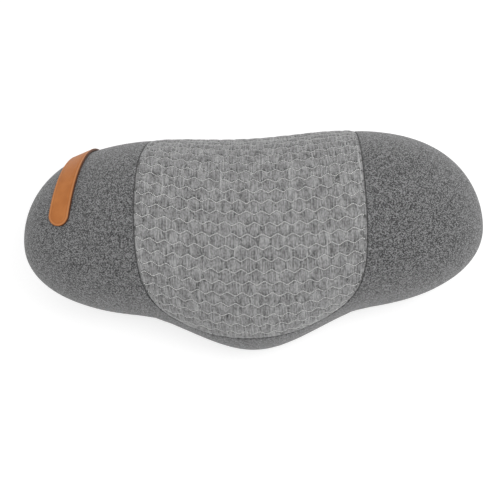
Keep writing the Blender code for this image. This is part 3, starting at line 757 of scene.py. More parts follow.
def melange_group() -> bpy.types.NodeTree:
    """Salt and pepper of mixed yarns: each grain of the weave has a shade of its own, with painted shade
    towards its border where the yarns cross.
    """
    tree, graph, given, results = new_group(
        "melange", [("Vector", "Vector", None), ("Grain", "Float", 800.0), ("Fibre", "Float", 0.5)],
        [("Shade", "Float"), ("Height", "Float")])
    cells = graph.add("ShaderNodeTexVoronoi", {"Vector": given["Vector"], "Scale": given["Grain"],
                                               "Randomness": 0.9})
    tone = graph.add("ShaderNodeSeparateColor", {0: cells.outputs["Color"]}).outputs[0]
    fine = graph.noise(given["Vector"], 2300.0, 3.0, 0.7)
    fine = graph.spread(fine, 0.3, 0.7)
    tone = graph.spread(tone, 0.22, 0.78)
    shade = graph.add("ShaderNodeMix", {0: given["Fibre"], 2: tone, 3: fine}).outputs[0]
    # Painted shade: each grain darkens towards its border, where the yarns cross.
    crease_shade = graph.spread(cells.outputs["Distance"], 0.30, 0.75, 1.0, 0.45)
    tree.links.new(graph.math("MULTIPLY", shade, crease_shade), results["Shade"])
    dome = graph.math("SUBTRACT", 1.0, cells.outputs["Distance"])
    height = graph.math("ADD", dome, graph.math("MULTIPLY", fine, 0.35))
    tree.links.new(height, results["Height"])
    return tree


def slub_group() -> bpy.types.NodeTree:
    """Yarns that run one way and grow thick and thin, in the cloth's own coordinates."""
    tree, graph, given, results = new_group(
        "slub_yarns", [("Cloth", "Vector", None)],
        [("Shade", "Float"), ("Grain", "Float"), ("Height", "Float")])
    streak = graph.noise(graph.scaled(given["Cloth"], (760, 75, 1)), 1.0, 2.0, 0.55)
    streak = graph.spread(streak, 0.36, 0.66)
    long_streak = graph.noise(graph.scaled(given["Cloth"], (520, 14, 1)), 1.0, 1.0, 0.4)
    long_streak = graph.spread(long_streak, 0.60, 0.78)
    cells = graph.scaled(given["Cloth"], (1150, 800, 1))
    speck = graph.add("ShaderNodeTexVoronoi", {"Vector": cells, "Scale": 1.0}).outputs["Color"]
    grain = graph.spread(graph.add("ShaderNodeSeparateColor", {0: speck}).outputs[0], 0.25, 0.75)
    patch = graph.spread(graph.noise(graph.scaled(given["Cloth"], (130, 90, 1)), 1.0, 1.0), 0.35, 0.65)
    shade = graph.math("ADD", graph.math("MULTIPLY", streak, 0.42), graph.math("MULTIPLY", patch, 0.22))
    shade = graph.math("ADD", shade, graph.math("MULTIPLY", long_streak, 0.34))
    shade = graph.math("ADD", shade, 0.14, clamp=True)
    tree.links.new(shade, results["Shade"])
    tree.links.new(grain, results["Grain"])
    ribs = graph.add("ShaderNodeTexWave", {"Vector": given["Cloth"], "Scale": 175.0, "Distortion": 0.6,
                                           "Detail": 1.0}, bands_direction="X").outputs[1]
    height = graph.math("ADD", graph.math("MULTIPLY", ribs, 0.35), grain)
    tree.links.new(height, results["Height"])
    return tree


def wear_group() -> bpy.types.NodeTree:
    """Soft dust and rubbed patches, wide and faint."""
    tree, graph, given, results = new_group(
        "wear", [("Vector", "Vector", None), ("Scale", "Float", 24.0)], [("Mask", "Float")])
    wide = graph.noise(given["Vector"], given["Scale"], 3.0)
    tree.links.new(graph.spread(wide, 0.32, 0.68), results["Mask"])
    return tree


GROUPS = {"melange": melange_group(), "slub": slub_group(), "wear": wear_group()}


def shaded(value: float, tint: Sequence[float] = (1, 1, 1)) -> tuple[float, float, float, float]:
    """A grey of a brightness, or a colour made lighter or darker, with full cover."""
    return (value * tint[0], value * tint[1], value * tint[2], 1.0)


def start_material(name: str) -> tuple[bpy.types.Material, Graph, bpy.types.Node, dict]:
    """A new material with its graph, its shader and the coordinates of its surface."""
    material = bpy.data.materials.new(name)
    material.use_nodes = True
    graph = Graph(material.node_tree)
    shader = material.node_tree.nodes["Principled BSDF"]
    coordinates = graph.add("ShaderNodeTexCoord").outputs
    return material, graph, shader, coordinates


def wire(graph: Graph, shader: bpy.types.Node, **sockets: bpy.types.NodeSocket) -> None:
    """Link sockets to the shader's inputs, with _ for a space in their names."""
    for key, socket in sockets.items():
        graph.tree.links.new(socket, shader.inputs[key.replace("_", " ")])


@dataclass(frozen=True)
class HeatherFinish:
    """Woven upholstery cloth of mixed dark and light yarns, with painted shade along its seams."""

    name: str = "dark_heather_cloth"
    dark: float = 0.028
    light: float = 0.372
    tint: tuple[float, float, float] = (0.995, 1.0, 1.01)
    grain: float = 1300.0
    fibre: float = 0.30
    relief: float = 0.40 * MM
    roughness: float = 0.92
    sheen: float = 0.35

    def make(self) -> bpy.types.Material:
        """Build the material."""
        material, graph, shader, at = start_material(self.name)
        yarns = graph.group("melange", Vector=at["Object"], Grain=self.grain, Fibre=self.fibre)
        shade = graph.spread(yarns.outputs["Shade"], 0.10, 0.90)
        colour = graph.blend(shade, shaded(self.dark, self.tint), shaded(self.light, self.tint))
        wear = graph.group("wear", Vector=at["Object"])
        share = graph.math("MULTIPLY", wear.outputs["Mask"], 0.10)
        colour = graph.blend(share, colour, shaded(self.light * 0.8, self.tint))
        # Painted shade: the cloth darkens within 0.8 mm of a seam, where it dips into the seam.
        edge = graph.attribute("edge")
        near = graph.spread(edge, 0.0, 0.8 * MM, 0.60, 1.0)
        rough = graph.spread(yarns.outputs["Shade"], 0.0, 1.0, self.roughness, self.roughness - 0.1)
        wire(graph, shader, Base_Color=graph.darkened(colour, near), Roughness=rough,
             Normal=graph.bump(yarns.outputs["Height"], self.relief))
        shader.inputs["Sheen Weight"].default_value = self.sheen
        shader.inputs["Sheen Roughness"].default_value = 0.5
        shader.inputs["Specular IOR Level"].default_value = 0.2
        return material


@dataclass(frozen=True)
class QuiltFinish:
    """Lighter knitted cloth with slubs, with painted shade along its quilting lines and its seams."""

    name: str = "quilted_grey_cloth"
    dark: float = 0.070
    light: float = 0.480
    # Painted shade: how dark the cloth gets on a quilting line.
    groove_shade: float = 0.38
    grain_near: float = 0.62
    grain_far: float = 0.30
    relief: float = 0.30 * MM

    def make(self) -> bpy.types.Material:
        """Build the material."""
        material, graph, shader, at = start_material(self.name)
        yarns = graph.group("slub", Cloth=at["UV"])
        lines = graph.attribute("quilt")
        rough_near = graph.spread(lines, 0.8 * MM, 2.6 * MM, self.grain_near, self.grain_far)
        speck = graph.math("MULTIPLY", graph.math("SUBTRACT", yarns.outputs["Grain"], 0.5), rough_near)
        shade = graph.math("ADD", yarns.outputs["Shade"], speck, clamp=True)
        colour = graph.blend(shade, shaded(self.dark), shaded(self.light))
        # Painted shade: darker within 1.2 mm of a quilting line and within 0.8 mm of a seam.
        edge = graph.attribute("edge")
        near = graph.math("MULTIPLY", graph.spread(lines, 0.3 * MM, 1.2 * MM, self.groove_shade, 1.0),
                          graph.spread(edge, 0.0, 0.8 * MM, 0.60, 1.0))
        wear = graph.group("wear", Vector=at["Object"])
        share = graph.math("MULTIPLY", wear.outputs["Mask"], 0.08)
        result = graph.blend(share, graph.darkened(colour, near), shaded(self.light))
        wire(graph, shader, Base_Color=result, Roughness=graph.spread(yarns.outputs["Shade"], 0, 1, 0.9, 0.8),
             Normal=graph.bump(yarns.outputs["Height"], self.relief))
        shader.inputs["Sheen Weight"].default_value = 0.25
        shader.inputs["Sheen Roughness"].default_value = 0.5
        shader.inputs["Specular IOR Level"].default_value = 0.2
        return material


@dataclass(frozen=True)
class ThreadFinish:
    """Twisted sewing thread."""

    name: str
    colour: tuple[float, float, float]
    roughness: float = 0.6

    def make(self) -> bpy.types.Material:
        """Build the material."""
        material, graph, shader, at = start_material(self.name)
        twist = graph.noise(at["Object"], 2600.0, 2.0, 0.6)
        share = graph.spread(twist, 0.3, 0.7)
        colour = graph.blend(share, shaded(0.72, self.colour), shaded(1.0, self.colour))
        rough = graph.spread(share, 0.0, 1.0, self.roughness + 0.1, self.roughness - 0.1)
        wire(graph, shader, Base_Color=colour, Roughness=rough, Normal=graph.bump(twist, 0.08 * MM))
        shader.inputs["Sheen Weight"].default_value = 0.2
        return material


@dataclass(frozen=True)
class LeatherFinish:
    """Tan leather with a fine grain, and painted shade along its edge."""

    name: str = "tan_leather"
    base: tuple[float, float, float] = (0.52, 0.184, 0.045)
    deep: tuple[float, float, float] = (0.43, 0.140, 0.030)
    rim: tuple[float, float, float] = (0.60, 0.260, 0.100)
    # Painted shade: colour of the dark band along the edge.
    edge_shade: tuple[float, float, float] = (0.10, 0.035, 0.014)

    def make(self) -> bpy.types.Material:
        """Build the material."""
        material, graph, shader, at = start_material(self.name)
        cells = graph.add("ShaderNodeTexVoronoi", {"Vector": at["Object"], "Scale": 900.0},
                          feature="DISTANCE_TO_EDGE").outputs["Distance"]
        pores = graph.noise(at["Object"], 1700.0, 4.0, 0.6)
        cloud = graph.spread(graph.noise(at["Object"], 90.0, 3.0), 0.3, 0.7)
        colour = graph.blend(cloud, shaded(1.0, self.deep), shaded(1.0, self.base))
        edge = graph.attribute("edge")
        rim = graph.math("MULTIPLY", graph.spread(edge, 0.5 * MM, 0.9 * MM),
                         graph.spread(edge, 1.7 * MM, 2.2 * MM, 1.0, 0.0))
        colour = graph.blend(graph.math("MULTIPLY", rim, 0.45), colour, shaded(1.0, self.rim))
        # Painted shade: darker in a band 2.0 to 3.2 mm in from the edge, along the dip of the creased line.
        crease_shade = graph.math("MULTIPLY", graph.spread(edge, 2.0 * MM, 2.4 * MM),
                            graph.spread(edge, 2.6 * MM, 3.2 * MM, 1.0, 0.0))
        colour = graph.blend(graph.math("MULTIPLY", crease_shade, 0.55), colour, shaded(1.0, self.deep))
        # Painted shade: a dark band within 0.45 mm of the edge, all round, for the shadow at the tab's side.
        side = graph.spread(edge, 0.15 * MM, 0.45 * MM, 1.0, 0.0)
        colour = graph.blend(side, colour, shaded(1.0, self.edge_shade))
        wear = graph.group("wear", Vector=at["Object"])
        rough = graph.spread(wear.outputs["Mask"], 0.0, 1.0, 0.62, 0.46)
        height = graph.math("ADD", graph.math("MULTIPLY", cells, 1.2), graph.math("MULTIPLY", pores, 0.5))
        wire(graph, shader, Base_Color=colour, Roughness=rough, Normal=graph.bump(height, 0.12 * MM))
        shader.inputs["Specular IOR Level"].default_value = 0.35
        return material


@dataclass(frozen=True)
class TapeFinish:
    """Woven tape with fine ribs along its length."""

    name: str
    colour: tuple[float, float, float]
    ribs: tuple[float, float, float] = (350.0, 900.0, 350.0)

    def make(self) -> bpy.types.Material:
        """Build the material."""
        material, graph, shader, at = start_material(self.name)
        ribs = graph.add("ShaderNodeTexWave", {"Vector": graph.scaled(at["Object"], self.ribs), "Scale": 0.32,
                                               "Distortion": 0.3}, bands_direction="Y").outputs[1]
        picks = graph.noise(graph.scaled(at["Object"], (1400, 700, 700)), 1.0, 2.0)
        share = graph.math("MULTIPLY", ribs, graph.spread(picks, 0.3, 0.7))
        colour = graph.blend(share, shaded(0.55, self.colour), shaded(1.0, self.colour))
        wire(graph, shader, Base_Color=colour, Roughness=graph.spread(share, 0, 1, 0.9, 0.7),
             Normal=graph.bump(share, 0.15 * MM))
        shader.inputs["Sheen Weight"].default_value = 0.2
        return material


@dataclass(frozen=True)
class MetalFinish:
    """Plated metal, rubbed brighter where hands and cloth touch it."""

    name: str = "dark_nickel"
    colour: tuple[float, float, float] = (0.36, 0.36, 0.37)

    def make(self) -> bpy.types.Material:
        """Build the material."""
        material, graph, shader, at = start_material(self.name)
        wear = graph.group("wear", Vector=at["Object"], Scale=260.0)
        brushed = graph.noise(graph.scaled(at["Object"], (500, 4000, 4000)), 1.0, 3.0)
        share = graph.math("MULTIPLY", wear.outputs["Mask"], graph.spread(brushed, 0.3, 0.7))
        colour = graph.blend(share, shaded(1.0, self.colour), (*[min(1, c * 1.7) for c in self.colour], 1.0))
        wire(graph, shader, Base_Color=colour, Roughness=graph.spread(share, 0, 1, 0.42, 0.24),
             Normal=graph.bump(brushed, 0.02 * MM))
        shader.inputs["Metallic"].default_value = 1.0
        return material


@dataclass(frozen=True)
class ResinFinish:
    """Moulded plastic of the zip's teeth."""

    name: str = "black_zip_teeth"
    colour: tuple[float, float, float] = (0.022, 0.022, 0.024)
    dust: float = 0.09

    def make(self) -> bpy.types.Material:
        """Build the material."""
        material, graph, shader, at = start_material(self.name)
        orange_peel = graph.noise(at["Object"], 1500.0, 2.0)
        dust = graph.spread(graph.noise(at["Object"], 300.0, 3.0), 0.45, 0.75)
        share = graph.math("MULTIPLY", dust, 0.25)
        colour = graph.blend(share, shaded(1.0, self.colour), shaded(self.dust))
        wire(graph, shader, Base_Color=colour, Roughness=graph.spread(dust, 0, 1, 0.35, 0.6),
             Normal=graph.bump(orange_peel, 0.03 * MM))
        return material


@dataclass(frozen=True)
class LinerFinish:
    """Thin plain liner cloth over the foam, coloured dark grey as painted shade where it shows through the
    zip's slot.
    """

    name: str = "dark_liner_cloth_painted_shade"
    # Painted shade: dark grey so that the liner seen through the zip's slot reads as shadow.
    colour: tuple[float, float, float] = (0.075, 0.075, 0.078)

    def make(self) -> bpy.types.Material:
        """Build the material."""
        material, graph, shader, at = start_material(self.name)
        node = graph.group("melange", Vector=at["Object"], Grain=1500.0)
        colour = graph.blend(node.outputs["Shade"], shaded(0.8, self.colour), shaded(1.0, self.colour))
        rough = graph.spread(node.outputs["Shade"], 0, 1, 0.95, 0.85)
        wire(graph, shader, Base_Color=colour, Roughness=rough,
             Normal=graph.bump(node.outputs["Height"], 0.1 * MM))
        return material


# --------------------------------------------------------- repeated shapes

class Shape(Enum):
    """The small shapes that geometry nodes set out in rows."""

    STITCH = "stitch"
    TOOTH = "tooth"


@dataclass
class RowMaker:
    """Geometry nodes that set a small shape on each of many points."""

    tree: bpy.types.NodeTree = field(init=False)

    def __post_init__(self) -> None:
        """Build the node tree."""
        tree = bpy.data.node_groups.new("set_out_in_rows", "GeometryNodeTree")
        sockets = (("Geometry", "Geometry"), ("Shape", "Object"), ("Length", "Float"), ("Width", "Float"),
                   ("Height", "Float"), ("Variation", "Float"), ("Seed", "Int"), ("Material", "Material"))
        for label, kind in sockets:
            tree.interface.new_socket(name=label, in_out="INPUT", socket_type=f"NodeSocket{kind}")
        tree.interface.new_socket(name="Geometry", in_out="OUTPUT", socket_type="NodeSocketGeometry")
        graph = Graph(tree)
        given = graph.add("NodeGroupInput").outputs
        points = graph.add("GeometryNodeMeshToPoints", {"Mesh": given["Geometry"]}).outputs[0]
        along, out = (graph.add("GeometryNodeInputNamedAttribute", {"Name": name},
                                data_type="FLOAT_VECTOR").outputs[0] for name in ("along", "out"))
        turn = graph.add("FunctionNodeAlignRotationToVector", {"Vector": out}, axis="Z").outputs[0]
        turn = graph.add("FunctionNodeAlignRotationToVector", {"Rotation": turn, "Vector": along}, axis="X",
                         pivot_axis="Z").outputs[0]
        low = graph.math("SUBTRACT", 1.0, given["Variation"])
        high = graph.math("ADD", 1.0, given["Variation"])
        random = graph.add("FunctionNodeRandomValue", {2: low, 3: high, "Seed": given["Seed"]}).outputs[1]
        length = graph.math("MULTIPLY", given["Length"], random)
        sizes = {0: length, 1: given["Width"], 2: given["Height"]}
        size = graph.add("ShaderNodeCombineXYZ", sizes).outputs[0]
        shape = graph.add("GeometryNodeObjectInfo", {"Object": given["Shape"]}).outputs["Geometry"]
        rows = graph.add("GeometryNodeInstanceOnPoints",
                         {"Points": points, "Instance": shape, "Rotation": turn, "Scale": size}).outputs[0]
        real = graph.add("GeometryNodeRealizeInstances", {0: rows}).outputs[0]
        dressed = graph.add("GeometryNodeSetMaterial", {0: real, "Material": given["Material"]}).outputs[0]
        graph.add("NodeGroupOutput", {"Geometry": dressed})
        self.tree = tree

    @staticmethod
    def shape_object(shape: Shape) -> bpy.types.Object:
        """The small shape, of length, width and height 1."""
        if shape is Shape.STITCH:
            rings = ((-0.5, 0.0), (-0.33, 0.40), (0.0, 0.5), (0.33, 0.40), (0.5, 0.0))
            points, faces = lathe_points(rings, 6)
        else:
            points, faces = tooth_points()
        return make_mesh(f"{shape.value}_shape", points, faces, sharp=70.0)

    def make(self, name: str, shape: Shape, places: np.ndarray, along: np.ndarray, out: np.ndarray,
             size: tuple[float, float, float], material: bpy.types.Material, variation: float = 0.08,
             seed: int = 3) -> bpy.types.Object:
        """Set out a row and turn it into a plain mesh.

        Args:
            name: name of the piece.
            shape: which small shape.
            places: where each stands.
            along: direction of its length at each place.
            out: direction of its height at each place.
            size: its length, width and height.
            material: its finish.
            variation: how much the length varies.
            seed: seed of that variation.

        Returns:
            The new piece.
        """
        points = bpy.data.meshes.new(name)
        points.from_pydata([tuple(place) for place in places], [], [])
        for key, vectors in (("along", along), ("out", out)):
            layer = points.attributes.new(key, "FLOAT_VECTOR", "POINT")
            layer.data.foreach_set("vector", np.ascontiguousarray(vectors, np.float32).ravel())
        piece = linked(name, points)
        model = self.shape_object(shape)
        rows = piece.modifiers.new("rows", "NODES")
        rows.node_group = self.tree
        chosen = {"Shape": model, "Length": size[0], "Width": size[1], "Height": size[2],
                  "Variation": variation, "Seed": seed, "Material": material}
        for item in self.tree.interface.items_tree:
            if item.in_out == "INPUT" and item.name in chosen:
                rows[item.identifier] = chosen[item.name]
        made = apply_modifiers(piece)
        made.name = name
        bpy.data.objects.remove(model, do_unlink=True)
        if not made.materials:
            made.materials.append(material)
        return piece


def lathe_points(rings: Sequence[tuple[float, float]], sides: int) -> tuple[np.ndarray, np.ndarray]:
    """Points and triangles of a closed shape turned about X, whose first and last rings are points."""
    points = [(rings[0][0], 0.0, 0.0)]
    for x, radius in rings[1:-1]:
        for number in range(sides):
            turn = 2 * math.pi * number / sides
            points.append((x, radius * math.cos(turn), radius * math.sin(turn)))
    points.append((rings[-1][0], 0.0, 0.0))
    faces = []
    last = len(points) - 1
    for number in range(sides):
        after = (number + 1) % sides
        faces.append((0, 1 + after, 1 + number))
        for ring in range(len(rings) - 3):
            low, high = 1 + ring * sides, 1 + (ring + 1) * sides
            faces += [(low + number, low + after, high + after), (low + number, high + after, high + number)]
        faces.append((last, last - sides + number, last - sides + after))
    return np.array(points), np.array(faces)


def tooth_points() -> tuple[np.ndarray, np.ndarray]:
    """Points and triangles of a zip's tooth: a waisted block with a rounded head towards +Y."""
    outline = ((-0.34, -0.5), (0.34, -0.5), (0.34, -0.1), (0.24, 0.12), (0.46, 0.3), (0.36, 0.5),
               (-0.36, 0.5), (-0.46, 0.3), (-0.24, 0.12), (-0.34, -0.1))
    count = len(outline)
    levels = ((-0.5, 0.82), (-0.34, 1.0), (0.34, 1.0), (0.5, 0.82))
    points = [(x * scale, y * scale, z) for z, scale in levels for x, y in outline]
    faces = []
    for level in range(len(levels) - 1):
        low, high = level * count, (level + 1) * count
        for number in range(count):
            after = (number + 1) % count
            faces += [(low + number, low + after, high + after), (low + number, high + after, high + number)]
    top = (len(levels) - 1) * count
    fan = [(0, 1, 2), (0, 2, 9), (2, 3, 8), (2, 8, 9), (3, 4, 7), (3, 7, 8), (4, 5, 6), (4, 6, 7)]
    for a, b, c in fan:
        faces.append((c, b, a))
        faces.append((top + a, top + b, top + c))
    return np.array(points), np.array(faces)


# ------------------------------------------------------------------ quilting

@dataclass
class QuiltPattern:
    """Rows of hexagons with upright sides, on the cloth's own coordinates."""

    pitch: float = 13.2 * MM
    row: float = 10.4 * MM
    rise: float = 3.8 * MM
    puff: float = 1.0 * MM
    softness: float = 1.9 * MM

    def zigzag(self, a: np.ndarray, row: np.ndarray) -> np.ndarray:
        """Height of the slanted line between a row and the next."""
        wave = 1 - 4 * np.abs((a / self.pitch) - np.round(a / self.pitch))
        return (row + 0.5) * self.row + np.where(row % 2 == 0, 1, -1) * self.rise / 2 * wave

    def cell(self, a: np.ndarray, b: np.ndarray) -> tuple[np.ndarray, np.ndarray, np.ndarray, np.ndarray]:
        """Row and column of the hexagon at a place, and the distances to its slanted and upright sides."""
        row = np.floor(b / self.row + 0.5)
        row = np.where(b > self.zigzag(a, row), row + 1, row)
        row = np.where(b < self.zigzag(a, row - 1), row - 1, row)
        slope = math.cos(math.atan(2 * self.rise / self.pitch))
        slanted = np.minimum(self.zigzag(a, row) - b, b - self.zigzag(a, row - 1)) * slope
        shift = np.where(row % 2 == 0, 0.0, 0.5)
        column = np.round(a / self.pitch - shift)
        upright = self.pitch / 2 - np.abs(a - (column + shift) * self.pitch)
        return row, column, np.maximum(slanted, 0), np.maximum(upright, 0)

    def relief(self, a: np.ndarray, b: np.ndarray) -> tuple[np.ndarray, np.ndarray]:
        """Height of the puffed cloth over its quilted lines, and the distance to the nearest line."""
        row, column, slanted, upright = self.cell(a, b)
        plump = 0.85 + 0.3 * scatter(np.stack([row, column], axis=1), 5.0)
        pulled = np.maximum(np.exp(-(slanted / self.softness) ** 1.4),
                            0.5 * np.exp(-(upright / self.softness) ** 1.4))
        return self.puff * (plump * (1 - pulled) - 0.5), np.minimum(slanted, upright + 0.6 * MM)


@dataclass
class QuiltedPanel:
    """The light panel over the middle of the front, quilted in hexagons."""

    swelling: CoverSwelling
    columns: int = 236
    upper_rows: int = 168
    lower_rows: int = 124
    coarse: int = 4
    table_half_width: float = 106 * MM
    stitched_half_width: float = 105 * MM
    stitch_margin: float = 1.8 * MM
    sink_angles: tuple[float, float] = (math.radians(35), math.radians(80))
    row_middle: float = 14 * MM
    row_sag: float = 8 * MM
    row_tilt: float = 0.055
    stitch_size: tuple[float, float, float] = (1.10 * MM, 1.00 * MM, 0.60 * MM)
    stitch_pitch: float = 1.65 * MM
    sink_at_top: float = 0.14 * MM
    pattern: QuiltPattern = field(default_factory=QuiltPattern)

    def __post_init__(self) -> None:
        """Measure the cloth along its sections."""
        self.xs = np.linspace(-self.table_half_width, self.table_half_width, 213)
        behind = -np.arcsin(np.linspace(0.86, 0, 240, endpoint=False) ** 3)
        self.angles = np.r_[behind, np.linspace(0, math.radians(178.5), 940)]
        grid = FORM.points(FORM.section(self.xs[:, None], self.angles[None, :]))
        steps = np.linalg.norm(np.diff(grid, axis=1), axis=2)
        reach = np.concatenate([np.zeros((len(self.xs), 1)), np.cumsum(steps, axis=1)], axis=1)
        line = self.row_middle - self.row_sag * (1 - (self.xs / FORM.panel_half_width) ** 2)
        line -= self.row_tilt * self.xs
        front = self.angles >= 0
        start = [np.interp(-y, -row[front, 1], lengths[front]) for y, row, lengths in zip(line, grid, reach)]
        self.lengths = reach - np.array(start)[:, None]
        self.levels = np.linspace(self.lengths.min(), self.lengths.max(), 1400)
        self.turns = np.array([np.interp(self.levels, row, self.angles) for row in self.lengths])

    def table(self, values: np.ndarray, x: np.ndarray, knots: np.ndarray, at: np.ndarray) -> np.ndarray:
        """Look a value up between the columns and the rows of a table."""
        column = np.clip((x - self.xs[0]) / (self.xs[1] - self.xs[0]), 0, len(self.xs) - 1.001)
        left = column.astype(int)
        share = column - left
        row = np.interp(at, knots, np.arange(len(knots)))
        low = np.minimum(row.astype(int), len(knots) - 2)
        rest = row - low
        first = values[left, low] * (1 - rest) + values[left, low + 1] * rest
        second = values[left + 1, low] * (1 - rest) + values[left + 1, low + 1] * rest
        return first * (1 - share) + second * share

    def length_at(self, x: np.ndarray, angle: np.ndarray) -> np.ndarray:
        """Distance along the cloth from its middle row."""
        return self.table(self.lengths, x, self.angles, angle)

    def angle_at(self, x: np.ndarray, length: np.ndarray) -> np.ndarray:
        """Angle round the section at a distance along the cloth."""
        return self.table(self.turns, x, self.levels, length)

    def grid(self) -> tuple[np.ndarray, np.ndarray]:
        """x and angle of each point of the panel, in rows from the top to the foot."""
        edge = -SEAM.clearance
        t = np.linspace(-1, 1, self.columns + 1)[None, :]
        side = np.where(t < 0, -1, 1)
        half, taper = FORM.side_width(side, edge), FORM.top_side(side)
        down = np.linspace(0, 1, self.upper_rows + 1)[:, None]
        top_x, turn_x = t * (half - taper), t * half
        top_length = self.length_at(top_x.ravel(), FORM.end_angle(top_x, SEAM.clearance).ravel())
        turn_length = self.length_at(turn_x.ravel(), np.full(t.size, FORM.panel_turn))
        lengths = top_length[None, :] * (1 - down) + turn_length[None, :] * down
        x = np.broadcast_to(top_x * (1 - down) + turn_x * down, lengths.shape)
        for _ in range(3):
            angle = self.angle_at(x.ravel(), lengths.ravel()).reshape(lengths.shape)
            top = FORM.end_angle((half - taper) * side, SEAM.clearance)
            share = (angle - FORM.panel_turn) / (top - FORM.panel_turn)
            x = t * (half - taper * share ** 2)
        w = np.linspace(0, 1, self.lower_rows + 1)[1:, None]
        size = np.maximum(np.abs(t), w)
        norm = (np.abs(t) ** FORM.corner_power + w ** FORM.corner_power) ** (1 / FORM.corner_power)
        lower_x = t * half * size / norm
        lower_angle = FORM.arched(lower_x, w * size / norm, edge)
        return np.concatenate([x, lower_x]), np.concatenate([angle, lower_angle])

    def surface(self, x: np.ndarray, angle: np.ndarray, edge: np.ndarray,
                raised: np.ndarray) -> tuple[np.ndarray, np.ndarray, np.ndarray]:
        """Points of the outer side, their normals and the points before they are raised."""
        directions = FORM.section(x, angle)
        base, normals = FORM.points(directions), FORM.normals(directions)
        calm = smooth_step(edge, 0.5 * MM, 5 * MM)
        height = raised * calm + self.swelling.at(base) * calm
        height -= SEAM.depth(edge)
        return base + normals * height[:, None], normals, base

    def edge_line(self) -> np.ndarray:
        """Finely sampled seam round the panel."""
        sides = FORM.points(FORM.panel_edge(-SEAM.clearance, 900))
        ends = [side * (FORM.side_width(side, 0.0) - FORM.top_side(side)) for side in (-1, 1)]
        x = np.linspace(float(ends[0]), float(ends[1]), 900)
        top = FORM.points(FORM.section(x, FORM.end_angle(x, SEAM.clearance)))
        return np.concatenate([sides, top])

    def build(self, rows: RowMaker, cloth: bpy.types.Material, light: bpy.types.Material,
              dark: bpy.types.Material) -> list[bpy.types.Object]:
        """Build the panel and its quilting stitches."""
        x, angle = (values.ravel() for values in self.grid())
        count = self.columns + 1
        total = len(x) // count
        seam = self.edge_line()
        edge = distances(FORM.points(FORM.section(x, angle)), seam)
        number = np.arange(len(x))
        rim = (number % count == 0) | (number % count == count - 1) | (number < count)
        rim |= number >= len(x) - count
        edge[rim] = 0
        lengths = self.length_at(x, angle)
        raised, quilt = self.pattern.relief(x, lengths)
        outer, normals, base = self.surface(x, angle, edge, raised)
        faces = grid_faces(total, count)
        keep = (np.arange(0, total, self.coarse)[:, None] * count + np.arange(0, count, self.coarse)).ravel()
        inner = base[keep] - normals[keep] * (FORM.cover - LAYER_GAP)
        inner_grid = ((total - 1) // self.coarse + 1, (count - 1) // self.coarse + 1)
        inner_faces = grid_faces(*inner_grid)[:, ::-1]
        wall = bridge_faces(grid_loop(total, count), grid_loop(*inner_grid) + len(outer), self.coarse)
        panel = make_mesh("quilted_panel", np.concatenate([outer, inner]),
                          np.concatenate([faces, inner_faces + len(outer), wall]),
                          {"edge": np.r_[edge, edge[keep]], "quilt": np.r_[quilt, quilt[keep]]},
                          np.stack([np.r_[x, x[keep]], np.r_[lengths, lengths[keep]]], axis=1))
        clean(panel)
        finish_piece(panel, "cushion",
                     ("front_panel_face", "front_panel_wadding", "front_panel_backing"), cloth)
        return [panel, *self.stitches(rows, seam, light, dark)]

    def stitches(self, rows: RowMaker, seam: np.ndarray, light: bpy.types.Material,
                 dark: bpy.types.Material) -> list[bpy.types.Object]:
        """Stitches along every line of the quilting."""
        pattern = self.pattern
        half = FORM.panel_half_width
        across = np.arange(-math.ceil(half / pattern.pitch) - 1, math.ceil(half / pattern.pitch) + 2)
        span = np.arange(math.floor(self.lengths.min() / pattern.row) - 1,
                         math.ceil(self.lengths.max() / pattern.row) + 2)
        made = []
        for upright in (False, True):
            starts, ends = [], []
            for row in span:
                shift = 0.0 if row % 2 == 0 else 0.5
                for column in across:
                    middle = (column + shift) * pattern.pitch
                    high = row * pattern.row + pattern.row / 2 + pattern.rise / 2
                    low = high - pattern.rise
                    right = middle + pattern.pitch / 2
                    if upright:
                        starts.append((right, row * pattern.row - (pattern.row - pattern.rise) / 2))
                        ends.append((right, row * pattern.row + (pattern.row - pattern.rise) / 2))
                    else:
                        starts += [(middle, high), (middle, high)]
                        ends += [(middle - pattern.pitch / 2, low), (right, low)]
            start, end = np.array(starts), np.array(ends)
            long = np.linalg.norm(end[0] - start[0])
            steps = round(long / self.stitch_pitch)
            share = (np.arange(steps) + 0.5)[:, None, None] / steps
            places = (start + (end - start) * share).reshape(-1, 2)
            ahead = np.broadcast_to(unit(end - start), (steps, *start.shape)).reshape(-1, 2)
            made.append(self.stitch_row(rows, places, ahead, seam, upright, dark if upright else light))
        return made

